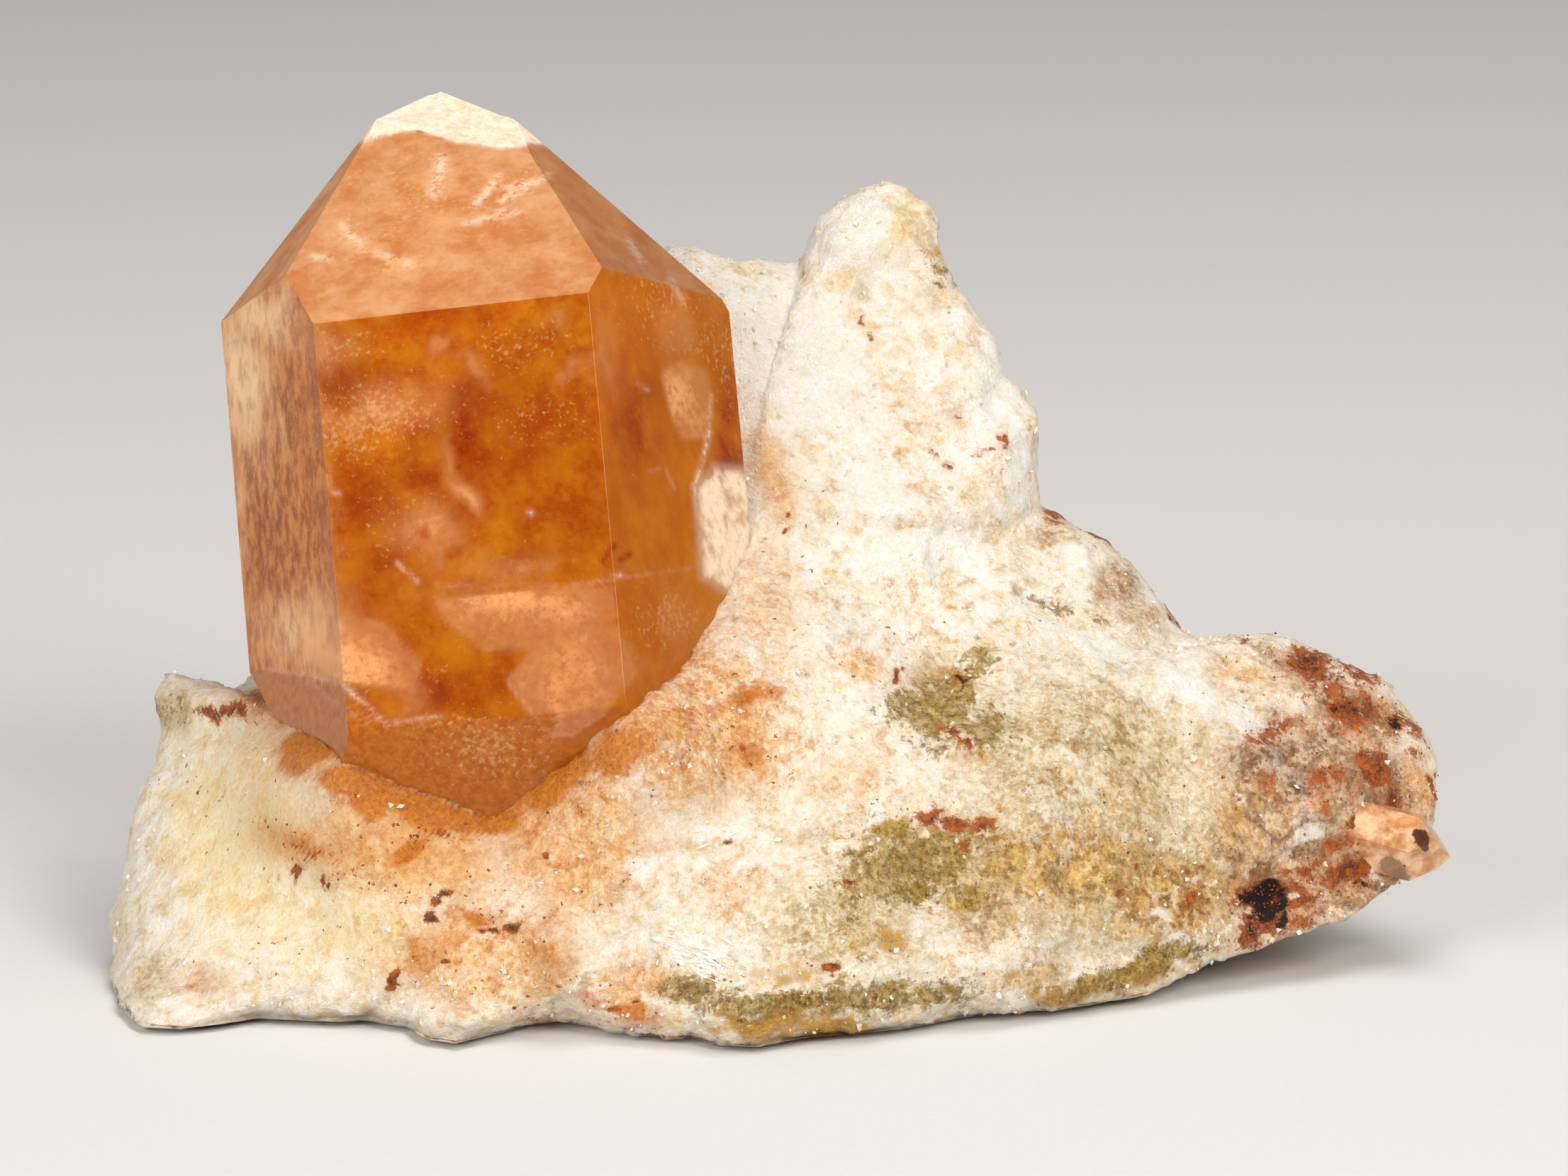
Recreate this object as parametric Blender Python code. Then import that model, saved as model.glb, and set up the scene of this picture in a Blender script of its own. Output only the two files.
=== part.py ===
"""Hematoid quartz on matrix: one stout double-ended crystal, orange with iron, grown on white quartz rock.

Three pieces: the matrix, the large crystal standing in a socket of it, and a small crystal at its right tip.
Metres, +Z up, the rock rests on Z = 0 and the crystal's front face looks towards -Y.
"""

from math import cos, radians, sin

import bmesh
import bpy
import numpy as np
from mathutils import Matrix, Vector

MM = 0.001

# Overall sizes. The pieces are laid out as an eye in front of them sees them, so a place is given by how far
# right and how far up it appears, and by how deep it lies behind the middle plane. All three are millimetres.
EYE_DISTANCE = 491.6
EYE_DROP = radians(12)
MIDDLE = Vector((0.18, 1.89, 20.4)) * MM
JOIN_GAP = 0.3 * MM
UNCUT_BLOCK = 90 * MM

# The large crystal: distance of each face from its middle, in millimetres. The faces of a ring run leftwards
# round the axis, from the one at the front.
CRYSTAL_MIDDLE = (-16.64, 7.58, 0.0)
CRYSTAL_ROLL = radians(5.5)
CRYSTAL_LEAN = radians(12.55)
CRYSTAL_TURN = radians(4.0)
PRISM_FACES = (12.4, 12.95, 12.1, 12.4, 12.1, 12.73)
CROWN_FACES = (13.1, 15.85, 15.2, 18.0, 13.5, 14.4)
FOOT_FACES = (20.8, 22.0, 16.45, 20.0, 13.9, 22.0)
RHOMB_TILT = radians(38.21)
# Chips off the tip: direction round the axis in degrees, tilt above the prism in degrees, distance.
TIP_CHIPS = ((-7, 47.5, 14.9), (30, 80, 21.3))

# The small crystal at the right tip of the rock.
SMALL_MIDDLE = (34.4, -14.3, -2.6)
SMALL_PRISM = (1.7, 1.6, 1.8, 1.6, 1.7, 1.8)
SMALL_CROWN = (1.9, 2.3, 2.0, 2.3, 1.9, 2.2)
SMALL_FOOT = (3.2, 3.2, 3.2, 3.2, 3.2, 3.2)
SMALL_SPIN = radians(22)
SMALL_DROOP = radians(104)
SMALL_SWING = radians(-12)

# Outline of the rock, anticlockwise from the left ledge along the underside: right, up, depth of the rim.
# A depth of 99, far behind, lets the rim run down to the flat base. Sight lines this far down reach the base.
FAR_BEHIND = 99
BASE_SIGHT = -12.0
OUTLINE = (
    (-35.0, -7.8, 3), (-35.3, -9.0, 2), (-35.4, -9.8, 2), (-36.4, -11.8, 1), (-36.9, -14.5, 0),
    (-37.3, -16.7, -1), (-38.0, -18.5, -2), (-37.8, -20.7, -4), (-38.1, -22.0, -6), (-37.5, -23.5, -9),
    (-36.9, -24.2, 99), (-36.2, -24.8, 99), (-34.2, -24.9, 99), (-31.7, -24.6, 99), (-29.7, -24.3, 99),
    (-25.3, -24.5, 99), (-23.7, -24.4, 99), (-21.2, -24.8, 99), (-20.2, -25.5, 99), (-18.6, -25.7, 99),
    (-16.8, -25.3, 99), (-13.3, -24.4, 99), (-11.7, -24.6, 99), (-8.7, -25.2, 99), (-5.0, -25.4, 99),
    (-3.8, -25.8, 99), (-1.5, -25.9, 99), (1.0, -25.4, 99), (6.6, -24.9, 99), (9.3, -24.4, 99),
    (11.4, -24.0, -13), (15.7, -23.8, -12), (19.7, -23.1, -10), (22.9, -21.7, -9), (25.7, -20.5, -7),
    (29.0, -19.6, -6), (31.9, -18.6, -5), (33.6, -17.3, -3), (35.4, -16.0, -2), (36.3, -14.8, -1),
    (36.6, -12.7, 0), (36.9, -11.6, 0), (36.8, -8.9, 1), (35.2, -7.1, 2), (34.2, -5.3, 2), (32.8, -4.6, 3),
    (30.6, -3.8, 3), (28.6, -3.0, 3), (25.9, -2.8, 4), (23.7, -3.0, 4), (22.5, -2.4, 4), (19.8, 1.0, 5),
    (18.2, 2.6, 5), (15.4, 4.3, 6), (14.5, 4.7, 6), (14.3, 5.8, 6), (14.2, 8.3, 7), (14.1, 9.9, 7),
    (13.2, 11.2, 8), (12.3, 11.9, 8), (11.8, 13.7, 8), (11.1, 14.7, 9), (10.3, 16.3, 9), (9.4, 17.1, 10),
    (8.9, 18.9, 10), (8.6, 20.8, 11), (8.0, 21.8, 11), (6.8, 22.6, 11), (5.9, 22.9, 11), (4.8, 22.6, 11),
    (3.4, 21.8, 11), (2.2, 21.0, 12), (1.4, 19.7, 12), (1.0, 18.6, 12), (-1.0, 18.6, 11), (-3.2, 18.6, 10),
    (-4.9, 19.3, 10), (-6.6, 19.2, 10), (-10.2, 16.4, 12), (-16.2, 10.8, 13), (-23.4, 2.8, 12),
    (-28.2, -2.8, 10), (-29.7, -4.5, 8), (-30.4, -5.4, 7), (-31.2, -5.8, 6), (-32.6, -5.3, 5),
    (-34.8, -4.9, 4), (-35.6, -6.2, 3),
)

# The rings of points run out from this place to the outline, partly crowded towards it. The higher the
# bluntness, the nearer to the rim the front and the back turn in.
GRID_MIDDLE = (-7.0, -12.0)
GRID_STEPS = 24
GRID_CROWDING = 0.5
RIM_BLUNTNESS = 7

# Depth of the front of the rock at places on it. Where it meets the crystal it follows the crystal's faces.
FRONT = (
    (-27.8, -7.6, -8.4), (-25.3, -9.1, -14.4), (-22.0, -10.9, -14.2), (-18.9, -12.1, -13.8),
    (-16.5, -12.8, -13.5), (-13.9, -10.7, -14.4), (-9.5, -7.8, -15.6), (-7.6, -6.1, -14.2),
    (-5.6, -4.0, -10.9), (-3.9, -1.4, -7.2), (-2.0, 3.3, -2.4), (-2.2, 9.0, 0.5), (-2.8, 14.0, 2.0),
    (-4.2, 17.2, 3.5), (-16.2, -6.8, -5.0), (-12.2, 1.2, 8.0), (-20.2, 1.2, 8.0), (-16.2, 8.0, 12.0),
    (-26.2, -4.0, 2.0), (-32.2, -6.8, -2.5), (-32.2, -12.8, -8.0), (-35.4, -18.8, -11.0),
    (-35.5, -23.4, -14.6),
    (-28.2, -16.8, -13.0), (-20.2, -16.8, -16.0), (-24.2, -22.8, -16.0), (-12.2, -18.8, -18.0),
    (-4.2, -20.8, -19.5), (-4.2, -12.8, -15.0), (3.8, -18.8, -17.5), (3.8, -8.8, -12.0),
    (11.8, -14.8, -14.0), (11.8, -6.8, -9.0), (3.8, -0.8, -5.0), (13.8, -0.8, -3.0), (19.8, -8.8, -7.5),
    (19.8, -16.8, -11.5), (27.8, -6.8, -3.0), (27.8, -14.8, -7.5), (34.0, -10.8, -3.5), (34.5, -14.8, -3.5),
    (5.8, 7.2, 1.0), (11.8, 5.2, 1.0), (1.8, 14.0, 4.0), (7.8, 14.0, 5.0), (5.4, 20.0, 7.5),
)
BACK = (
    (-32.2, -10.8, 9), (-34.2, -20.8, 6), (-20.2, -18.8, 16), (-4.2, -18.8, 17), (11.8, -18.8, 9),
    (27.8, -14.8, 5), (35.0, -12.8, 4), (23.8, -6.8, 9), (11.8, 1.2, 12), (5.8, 15.2, 14), (-2.2, 15.2, 15),
    (-8.2, 9.2, 18), (-20.2, -2.8, 17), (-28.2, -5.0, 11.5), (0.0, -6.8, 19), (-16.2, -10.8, 19),
)

# Lumps stand out of the front and hollows go into it: right, up, half width, half height, how far out.
LUMPS = (
    (5.6, 20.6, 2.2, 2.0, 1.6), (3.6, 19.6, 1.6, 1.6, 1.0), (11.0, 12.0, 2.0, 2.4, 1.2),
    (13.0, 7.0, 1.8, 2.6, 1.0), (-33.4, -5.9, 1.8, 0.8, 1.5), (29.5, -6.0, 3.0, 1.6, 1.2),
    (33.6, -9.0, 2.0, 2.0, 1.2), (31.0, -12.4, 2.4, 1.6, 0.9), (-12.8, -20.6, 1.6, 2.4, 1.4),
    (-19.2, -24.4, 2.2, 0.7, 1.2), (-2.8, -23.4, 2.6, 1.0, 1.0), (17.4, 2.0, 1.2, 1.6, 0.8),
    (2.0, 4.6, 3.0, 1.2, 0.9), (8.6, 4.4, 3.4, 1.0, 1.1), (21.0, -13.0, 3.0, 1.8, 0.8),
    (4.4, 16.4, 0.5, 0.7, -0.9), (8.6, -5.2, 2.6, 2.4, -1.5), (8.0, -16.6, 3.4, 2.2, -1.3),
    (27.0, -17.6, 2.0, 1.3, -2.2), (-8.6, -21.6, 1.1, 2.2, -1.5), (-5.4, -23.0, 3.2, 0.5, -0.9),
    (-30.6, -8.2, 2.4, 0.8, -0.8), (14.6, 0.6, 1.4, 3.6, -1.0), (0.6, -14.6, 3.6, 0.7, -0.6),
    (24.0, -10.6, 2.6, 1.4, -0.8), (18.6, -20.6, 4.0, 0.8, -0.9), (12.4, -10.4, 3.4, 0.8, -0.6),
)

# How far before the back wall the flat base starts to round up into it.
BASE_ROUNDING = 6.0

# Broken facets: how wide the large and the small ones are, and how far they stand out on the front and back.
FACET_SIZES = (7.0, 3.2)
FACET_FRONT = (0.7, 0.45)
FACET_BACK = (2.0, 1.0)
FACET_SEED = 7
FACET_NET = 64
FACET_BEND = 0.35
FACET_WAVE = 1.7

LOOKS = {
    "matrix": ((0.84, 0.74, 0.60), 0.75, 0.0),
    "quartz_crystal": ((0.72, 0.27, 0.06), 0.16, 0.62),
    "tip_crystal": ((0.80, 0.58, 0.40), 0.22, 0.45),
}


def place(right, up, depth):
    """World point, in metres, of what the eye sees this far right and up at this depth (in millimetres)."""
    spread = 1 + depth / EYE_DISTANCE
    along = up * spread * cos(EYE_DROP) - depth * sin(EYE_DROP)
    away = up * spread * sin(EYE_DROP) + depth * cos(EYE_DROP)
    return Vector((right * spread, away, along)) * MM + MIDDLE


def straight(across, up, depth):
    """World point of a place that is already given in true millimetres along the eye's own axes."""
    along = up * cos(EYE_DROP) - depth * sin(EYE_DROP)
    away = up * sin(EYE_DROP) + depth * cos(EYE_DROP)
    return Vector((across, away, along)) * MM + MIDDLE


def material(name):
    colour, roughness, clear = LOOKS[name]
    made = bpy.data.materials.new(name)
    made.diffuse_color = (*colour, 1)
    made.use_nodes = True
    shader = made.node_tree.nodes["Principled BSDF"]
    shader.inputs["Base Color"].default_value = (*colour, 1)
    shader.inputs["Roughness"].default_value = roughness
    shader.inputs["Metallic"].default_value = 0
    shader.inputs["Transmission Weight"].default_value = clear
    shader.inputs["IOR"].default_value = 1.544
    return made


def new_object(name, mesh, looks=None):
    made = bpy.data.objects.new(name, mesh)
    bpy.context.scene.collection.objects.link(made)
    if looks:
        made.data.materials.append(material(looks))
    return made


def face_ring(distances, tilt):
    """Six outward directions 60 degrees apart, turned up by the tilt, each with its distance."""
    for step, distance in enumerate(distances):
        turn = radians(60 * step)
        flat = Vector((-sin(turn), -cos(turn), 0))
        yield flat * cos(tilt) + Vector((0, 0, sin(tilt))), distance * MM


def chip_planes(chips):
    for turn, tilt, distance in chips:
        flat = Vector((-sin(radians(turn)), -cos(radians(turn)), 0))
        yield flat * cos(radians(tilt)) + Vector((0, 0, sin(radians(tilt)))), distance * MM


def cut_crystal(name, planes, turn, grow=0.0):
    """A block trimmed by each plane in turn, which leaves a flat-faced crystal. A socket is grown a little."""
    mesh = bpy.data.meshes.new(name)
    bm = bmesh.new()
    bmesh.ops.create_cube(bm, size=UNCUT_BLOCK)
    for outward, distance in planes:
        cut = bmesh.ops.bisect_plane(
            bm,
            geom=bm.verts[:] + bm.edges[:] + bm.faces[:],
            plane_co=outward * (distance + grow),
            plane_no=outward,
            clear_outer=True,
        )
        rim = [item for item in cut["geom_cut"] if isinstance(item, bmesh.types.BMEdge)]
        if rim:
            bmesh.ops.contextual_create(bm, geom=rim)
    bmesh.ops.recalc_face_normals(bm, faces=bm.faces[:])
    bm.transform(turn)
    bm.to_mesh(mesh)
    bm.free()
    return mesh


def large_crystal(name, grow=0.0):
    planes = [
        *face_ring(PRISM_FACES, 0),
        *face_ring(CROWN_FACES, RHOMB_TILT),
        *face_ring(FOOT_FACES, -RHOMB_TILT),
        *chip_planes(TIP_CHIPS),
    ]
    turn = (
        Matrix.Rotation(-EYE_DROP, 4, "X")
        @ Matrix.Rotation(-CRYSTAL_ROLL, 4, "Y")
        @ Matrix.Rotation(-CRYSTAL_LEAN, 4, "X")
        @ Matrix.Rotation(-CRYSTAL_TURN, 4, "Z")
    )
    made = new_object(name, cut_crystal(name, planes, turn, grow))
    made.location = straight(*CRYSTAL_MIDDLE)
    return made


def small_crystal(name, grow=0.0):
    """It lies on its side, its point out to the right and a little down and forward."""
    planes = [
        *face_ring(SMALL_PRISM, 0),
        *face_ring(SMALL_CROWN, RHOMB_TILT),
        *face_ring(SMALL_FOOT, -RHOMB_TILT),
    ]
    turn = (
        Matrix.Rotation(SMALL_SWING, 4, "Z")
        @ Matrix.Rotation(SMALL_DROOP, 4, "Y")
        @ Matrix.Rotation(SMALL_SPIN, 4, "Z")
    )
    made = new_object(name, cut_crystal(name, planes, turn, grow))
    made.location = straight(*SMALL_MIDDLE)
    return made


def spline(knots):
    """Smooth sheet of depths through the knots: a thin-plate spline, r squared times log r, plus a plane."""
    knots = np.array(knots, float)
    xy, depth = knots[:, :2], knots[:, 2]

    def kernel(points):
        gap = ((points[:, None] - xy[None]) ** 2).sum(2)
        return 0.5 * gap * np.log(gap + 1e-9)

    size = len(xy)
    flat = np.column_stack([np.ones(size), xy])
    system = np.zeros((size + 3, size + 3))
    system[:size, :size] = kernel(xy)
    system[:size, size:] = flat
    system[size:, :size] = flat.T
    weights = np.linalg.solve(system, np.append(depth, [0, 0, 0]))

    def sheet(points):
        bent = kernel(points) @ weights[:size]
        return bent + weights[size] + points @ weights[size + 1 :]

    return sheet


def lumps(points):
    """Sum of rounded lumps and hollows, each a bell curve."""
    total = np.zeros(len(points))
    for right, up, wide, high, out in LUMPS:
        across = (points[:, 0] - right) / wide
        along = (points[:, 1] - up) / high
        total += out * np.exp(-(across**2) - along**2)
    return total


def facets(points, size, seed):
    """Flat broken facets: heights at the corners of a bent net of triangles, joined by plane triangles."""
    heights = np.random.default_rng(seed).uniform(-1, 1, (FACET_NET, FACET_NET))
    bend = FACET_BEND * np.sin(points[:, ::-1] / size * FACET_WAVE + seed)
    net = points / size + bend + FACET_NET / 2
    cell = np.floor(net).astype(int)
    across, along = (net - cell).T
    right, up = cell.T % (FACET_NET - 1)
    far = across + along > 1
    low = heights[right, up]
    beside, above = heights[right + 1, up], heights[right, up + 1]
    high = heights[right + 1, up + 1]
    near_side = low + across * (beside - low) + along * (above - low)
    far_side = high + (1 - across) * (above - high) + (1 - along) * (beside - high)
    return np.where(far, far_side, near_side)


def broken(points, amounts, seed):
    """Large facets with small ones on them."""
    layers = zip(FACET_SIZES, amounts, strict=True)
    return sum(amount * facets(points, size, seed + step) for step, (size, amount) in enumerate(layers))


def base_depth(up):
    """Depth at which a sight line this far up comes down to the flat base."""
    floor = -MIDDLE.z / MM
    return (up * cos(EYE_DROP) - floor) / (sin(EYE_DROP) - up * cos(EYE_DROP) / EYE_DISTANCE)


def sight_depth(up):
    """The base's depth where the sight line reaches it below the eye's level, and far away elsewhere."""
    low = np.minimum(up, BASE_SIGHT)
    return np.where(up < BASE_SIGHT, base_depth(low), FAR_BEHIND)


def soft_minimum(first, second):
    """The smaller of two depths, with the corner between them rounded over BASE_ROUNDING."""
    share = np.clip(0.5 + (second - first) / (2 * BASE_ROUNDING), 0, 1)
    return second + share * (first - second) - BASE_ROUNDING * share * (1 - share)


def rim_points(share):
    """Places evenly spread along the closed outline, by its length: right, up, rim depth."""
    ring = np.array(OUTLINE + OUTLINE[:1], float)
    run = np.append(0, np.cumsum(np.hypot(*np.diff(ring[:, :2], axis=0).T)))
    return np.column_stack([np.interp(share * run[-1], run, ring[:, axis]) for axis in range(3)])


def square_grid(steps):
    """Grid over a square: how far out each point lies (0 to 1), and its share of the way round."""
    line = np.arange(-steps, steps + 1)
    across, along = np.meshgrid(line, line, indexing="ij")
    ring = np.maximum(abs(across), abs(along)).clip(1)
    side = np.select(
        [across == -ring, along == -ring, across == ring],
        [ring - along, 3 * ring + across, 5 * ring + along],
        7 * ring - across,
    )
    out = np.maximum(abs(across), abs(along)) / steps
    return out.ravel(), (side / (8 * ring)).ravel() % 1.0


def matrix_mesh():
    """Two depth sheets, front and back, over the rock's outline. They meet at a rounded rim."""
    out, share = square_grid(GRID_STEPS)
    reach = out + GRID_CROWDING * (np.sin(out * np.pi / 2) - out)
    rim = rim_points(share)
    middle = np.array(GRID_MIDDLE)
    places = middle + reach[:, None] * (rim[:, :2] - middle)
    deepest = sight_depth(places[:, 1])
    rim_depth = np.minimum(rim[:, 2], sight_depth(rim[:, 1]))
    fullness = np.sqrt(1 - reach**RIM_BLUNTNESS)

    front = spline(FRONT)(places) - lumps(places) + broken(places, FACET_FRONT, FACET_SEED)
    back = spline(BACK)(places) + broken(places, FACET_BACK, FACET_SEED + 5)
    front = rim_depth + (front - rim_depth) * fullness
    back = rim_depth + (back - rim_depth) * fullness
    back = soft_minimum(back, deepest)
    front = np.minimum(front, back)

    count = 2 * GRID_STEPS + 1
    index = np.arange(count * count).reshape(count, count)
    inner = index[1:-1, 1:-1].ravel()
    behind = index.copy()
    behind[1:-1, 1:-1] = count * count + np.arange(len(inner)).reshape(count - 2, count - 2)
    points = [place(*spot) for spot in np.column_stack([places, front])]
    points += [place(*spot) for spot in np.column_stack([places, back])[inner]]

    def quads(grid, flip):
        corners = [grid[:-1, :-1], grid[1:, :-1], grid[1:, 1:], grid[:-1, 1:]]
        return np.stack(corners[::flip], -1).reshape(-1, 4).tolist()

    mesh = bpy.data.meshes.new("matrix")
    mesh.from_pydata(points, [], quads(index, 1) + quads(behind, -1))
    bm = bmesh.new()
    bm.from_mesh(mesh)
    bmesh.ops.recalc_face_normals(bm, faces=bm.faces[:])
    bmesh.ops.triangulate(bm, faces=bm.faces[:])
    bm.to_mesh(mesh)
    bm.free()
    return mesh


def cut_socket(rock, cutter):
    cutter.hide_render = True
    cutter.display_type = "WIRE"
    socket = rock.modifiers.new(cutter.name, "BOOLEAN")
    socket.operation = "DIFFERENCE"
    socket.object = cutter


for old in list(bpy.data.objects):
    bpy.data.objects.remove(old)

matrix = new_object("matrix", matrix_mesh(), "matrix")
crystal = large_crystal("quartz_crystal")
crystal.data.materials.append(material("quartz_crystal"))
tip = small_crystal("tip_crystal")
tip.data.materials.append(material("tip_crystal"))
cut_socket(matrix, large_crystal("crystal_socket", JOIN_GAP))
cut_socket(matrix, small_crystal("tip_socket", JOIN_GAP))
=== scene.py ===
"""Looks of the hematoid quartz specimen: an orange, iron-stained quartz crystal grown on its rock.

Places are given as an eye in front of the specimen sees them: how far right and how far up they appear, and
how deep they lie behind the middle plane. All three are millimetres.
"""

from itertools import combinations, product
from math import cos, pi, radians, sin

import bpy
import numpy as np
from mathutils import Matrix, Vector


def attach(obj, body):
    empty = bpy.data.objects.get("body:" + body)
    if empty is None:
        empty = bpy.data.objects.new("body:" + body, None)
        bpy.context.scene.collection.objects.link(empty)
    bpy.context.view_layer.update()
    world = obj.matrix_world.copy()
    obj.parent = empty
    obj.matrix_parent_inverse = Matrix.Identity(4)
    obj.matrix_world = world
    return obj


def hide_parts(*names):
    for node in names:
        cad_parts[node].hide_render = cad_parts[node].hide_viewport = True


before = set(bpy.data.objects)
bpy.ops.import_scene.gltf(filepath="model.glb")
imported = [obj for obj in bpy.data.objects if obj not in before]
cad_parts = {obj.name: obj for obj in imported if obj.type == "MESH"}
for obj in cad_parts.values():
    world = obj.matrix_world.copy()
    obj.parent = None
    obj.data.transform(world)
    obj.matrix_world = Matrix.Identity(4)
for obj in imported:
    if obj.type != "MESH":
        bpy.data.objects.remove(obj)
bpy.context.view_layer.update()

# The eye: a long lens half a metre in front of the specimen, looking down on it a little. The photograph's
# frame is 88.5 mm wide at the middle of the specimen.
MM = 0.001
EYE_DISTANCE = 491.6
EYE_DROP = radians(12)
MIDDLE = np.array((0.18, 1.89, 20.4))
INTO_VIEW = np.array((0.0, cos(EYE_DROP), -sin(EYE_DROP)))
LENS_LENGTH = 200
FILM_WIDTH = 36


def from_eye(across, up, depth):
    """World points from true millimetres along the eye's own axes, which are turned down by its drop."""
    away = up * sin(EYE_DROP) + depth * cos(EYE_DROP)
    return np.stack([across, away, up * cos(EYE_DROP) - depth * sin(EYE_DROP)], -1) + MIDDLE


def place(right, up, depth):
    """World points from where they appear: right and up grow with the distance along a sight line."""
    spread = 1 + depth / EYE_DISTANCE
    return from_eye(right * spread, up * spread, depth)


def seen(points):
    """Where the eye sees world points: right, up and depth. It undoes what place does."""
    across, away, along = (points - MIDDLE).T
    depth = away * cos(EYE_DROP) - along * sin(EYE_DROP)
    up = away * sin(EYE_DROP) + along * cos(EYE_DROP)
    spread = 1 + depth / EYE_DISTANCE
    return across / spread, up / spread, depth


eye = bpy.data.objects.new("eye", bpy.data.cameras.new("eye"))
eye.data.lens = LENS_LENGTH
eye.data.sensor_width = FILM_WIDTH
eye.data.clip_start = 0.01
eye.location = from_eye(0.0, 0.0, -EYE_DISTANCE) * MM
eye.rotation_euler = (pi / 2 - EYE_DROP, 0, 0)
bpy.context.scene.collection.objects.link(eye)
bpy.context.scene.camera = eye


# The large crystal: quartz grown to a stout six-sided prism with a point at both ends, coloured by iron. Its
# faces are flat but for faint growth marks, hazy on the left and at the top, and clear in front. Its tip is
# chipped. Each plane is given by its distance from the crystal's middle, the front one of a ring first.
CRYSTAL_MIDDLE = from_eye(-16.64, 7.58, 0.0)
CRYSTAL_ROLL = radians(5.5)
CRYSTAL_LEAN = radians(12.55)
CRYSTAL_TURN = radians(4.0)
PRISM_FACES = (12.4, 12.95, 12.1, 12.4, 12.1, 12.73)
CROWN_FACES = (13.1, 15.85, 15.2, 18.0, 13.5, 14.4)
FOOT_FACES = (20.8, 22.0, 16.45, 20.0, 13.9, 22.0)
RHOMB_TILT = 38.21
TIP_CHIPS = ((-7, 47.5, 14.9), (30, 80, 21.3))
FACE_GRID = 0.26
HIDDEN_GRID = 0.8
EDGE_ROUNDING = 0.09
EDGE_ANGLE = radians(14)
HIDDEN_FACES = (2, 3, 4, 8, 9, 10, 14, 15, 16)
PANE_SOFTNESS = 0.16
STAIN_WANDER = 2.0
QUARTZ_IOR = 1.544


def scatter(cells, seed):
    """A steady random number, 0 to 1, for each whole-numbered cell, mixed from its three indices."""
    keys = np.array((73856093, 19349663, 83492791), np.uint64)
    mixed = (cells.astype(np.int64).astype(np.uint64) * keys).sum(-1) + np.uint64(seed * 7919 + 1)
    mixed = (mixed ^ (mixed >> np.uint64(13))) * np.uint64(0x5BD1E995)
    mixed = (mixed ^ (mixed >> np.uint64(15))) * np.uint64(0x27D4EB2D)
    return ((mixed ^ (mixed >> np.uint64(16))) & np.uint64(0xFFFFFF)) / float(0xFFFFFF)


def noise(points, size, seed, layers=3):
    """Smooth noise, 0 to 1: random lattice values joined by smoothstep curves. Each finer layer is half as
    strong as the one before."""
    total, strength = 0.0, 0.0
    for layer in range(layers):
        spot = points / size * 2**layer + 17.3 * layer
        cell = np.floor(spot)
        share = spot - cell
        share = share * share * (3 - 2 * share)
        value = 0.0
        for corner in product((0, 1), repeat=3):
            weight = np.prod(np.where(corner, share, 1 - share), -1)
            value = value + weight * scatter(cell + corner, seed + layer)
        total = total + value / 2**layer
        strength += 1 / 2**layer
    return total / strength


def smooth_step(value, low, high):
    """0 below low, 1 above high, and an S-shaped curve between."""
    share = np.clip((value - low) / (high - low), 0, 1)
    return share * share * (3 - 2 * share)


def shifted(points):
    """How far right and up the points are seen, each moved by noise, about half a millimetre either way.
    A patch painted over these places keeps no clean outline."""
    right, up, _ = seen(points)
    right = right + STAIN_WANDER * (noise(points, 1.6, 301, 4) - 0.5)
    return right, up + STAIN_WANDER * (noise(points, 1.6, 311, 4) - 0.5)


def patches(places, rows):
    """Soft field, 0 to 1, of turned oval patches: right, up, half length, half width, turn in degrees and
    strength. It is strength times exp(-(along / half length) squared - (across / half width) squared)."""
    right, up = places
    field = np.zeros(len(right))
    for mid_right, mid_up, long, wide, turn, strength in rows:
        lean = radians(turn)
        along = ((right - mid_right) * cos(lean) + (up - mid_up) * sin(lean)) / long
        across = ((up - mid_up) * cos(lean) - (right - mid_right) * sin(lean)) / wide
        field = np.maximum(field, strength * np.exp(-(along**2) - across**2))
    return field


def new_piece(name, points, faces):
    """A mesh object at the origin from points in millimetres."""
    mesh = bpy.data.meshes.new(name)
    mesh.from_pydata(points * MM, [], faces.tolist() if isinstance(faces, np.ndarray) else faces)
    made = bpy.data.objects.new(name, mesh)
    bpy.context.scene.collection.objects.link(made)
    return made


def mesh_points(piece):
    """The piece's points, in millimetres."""
    flat = np.empty(len(piece.data.vertices) * 3)
    piece.data.vertices.foreach_get("co", flat)
    return flat.reshape(-1, 3) / MM


def mesh_normals(piece):
    """The way out of the piece at each of its points."""
    flat = np.empty(len(piece.data.vertices) * 3)
    piece.data.vertex_normals.foreach_get("vector", flat)
    return flat.reshape(-1, 3)


def set_mask(piece, name, values):
    """Stores one number for each point, for the material to read."""
    layer = piece.data.attributes.new(name, "FLOAT", "POINT")
    layer.data.foreach_set("value", np.clip(values, 0, 1).astype(np.float32))


def ring_planes(distances, tilt):
    """Six planes 60 degrees apart, each turned up by the tilt: bearing, tilt, distance."""
    return [(60 * step, tilt, distance) for step, distance in enumerate(distances)]


def crystal_turn(*turns):
    """One turn of a crystal from several, the last one done first."""
    whole = Matrix.Identity(3)
    for angle, axis in turns:
        whole = whole @ Matrix.Rotation(angle, 3, axis)
    return np.array(whole)


def plane_table(rows):
    """Outward directions and distances of planes, from their bearings and tilts in degrees."""
    bearing, tilt, distance = np.array(rows, float).T
    bearing, tilt = np.radians(bearing), np.radians(tilt)
    flat = np.cos(tilt)
    return np.stack([-np.sin(bearing) * flat, -np.cos(bearing) * flat, np.sin(tilt)], -1), distance


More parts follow.
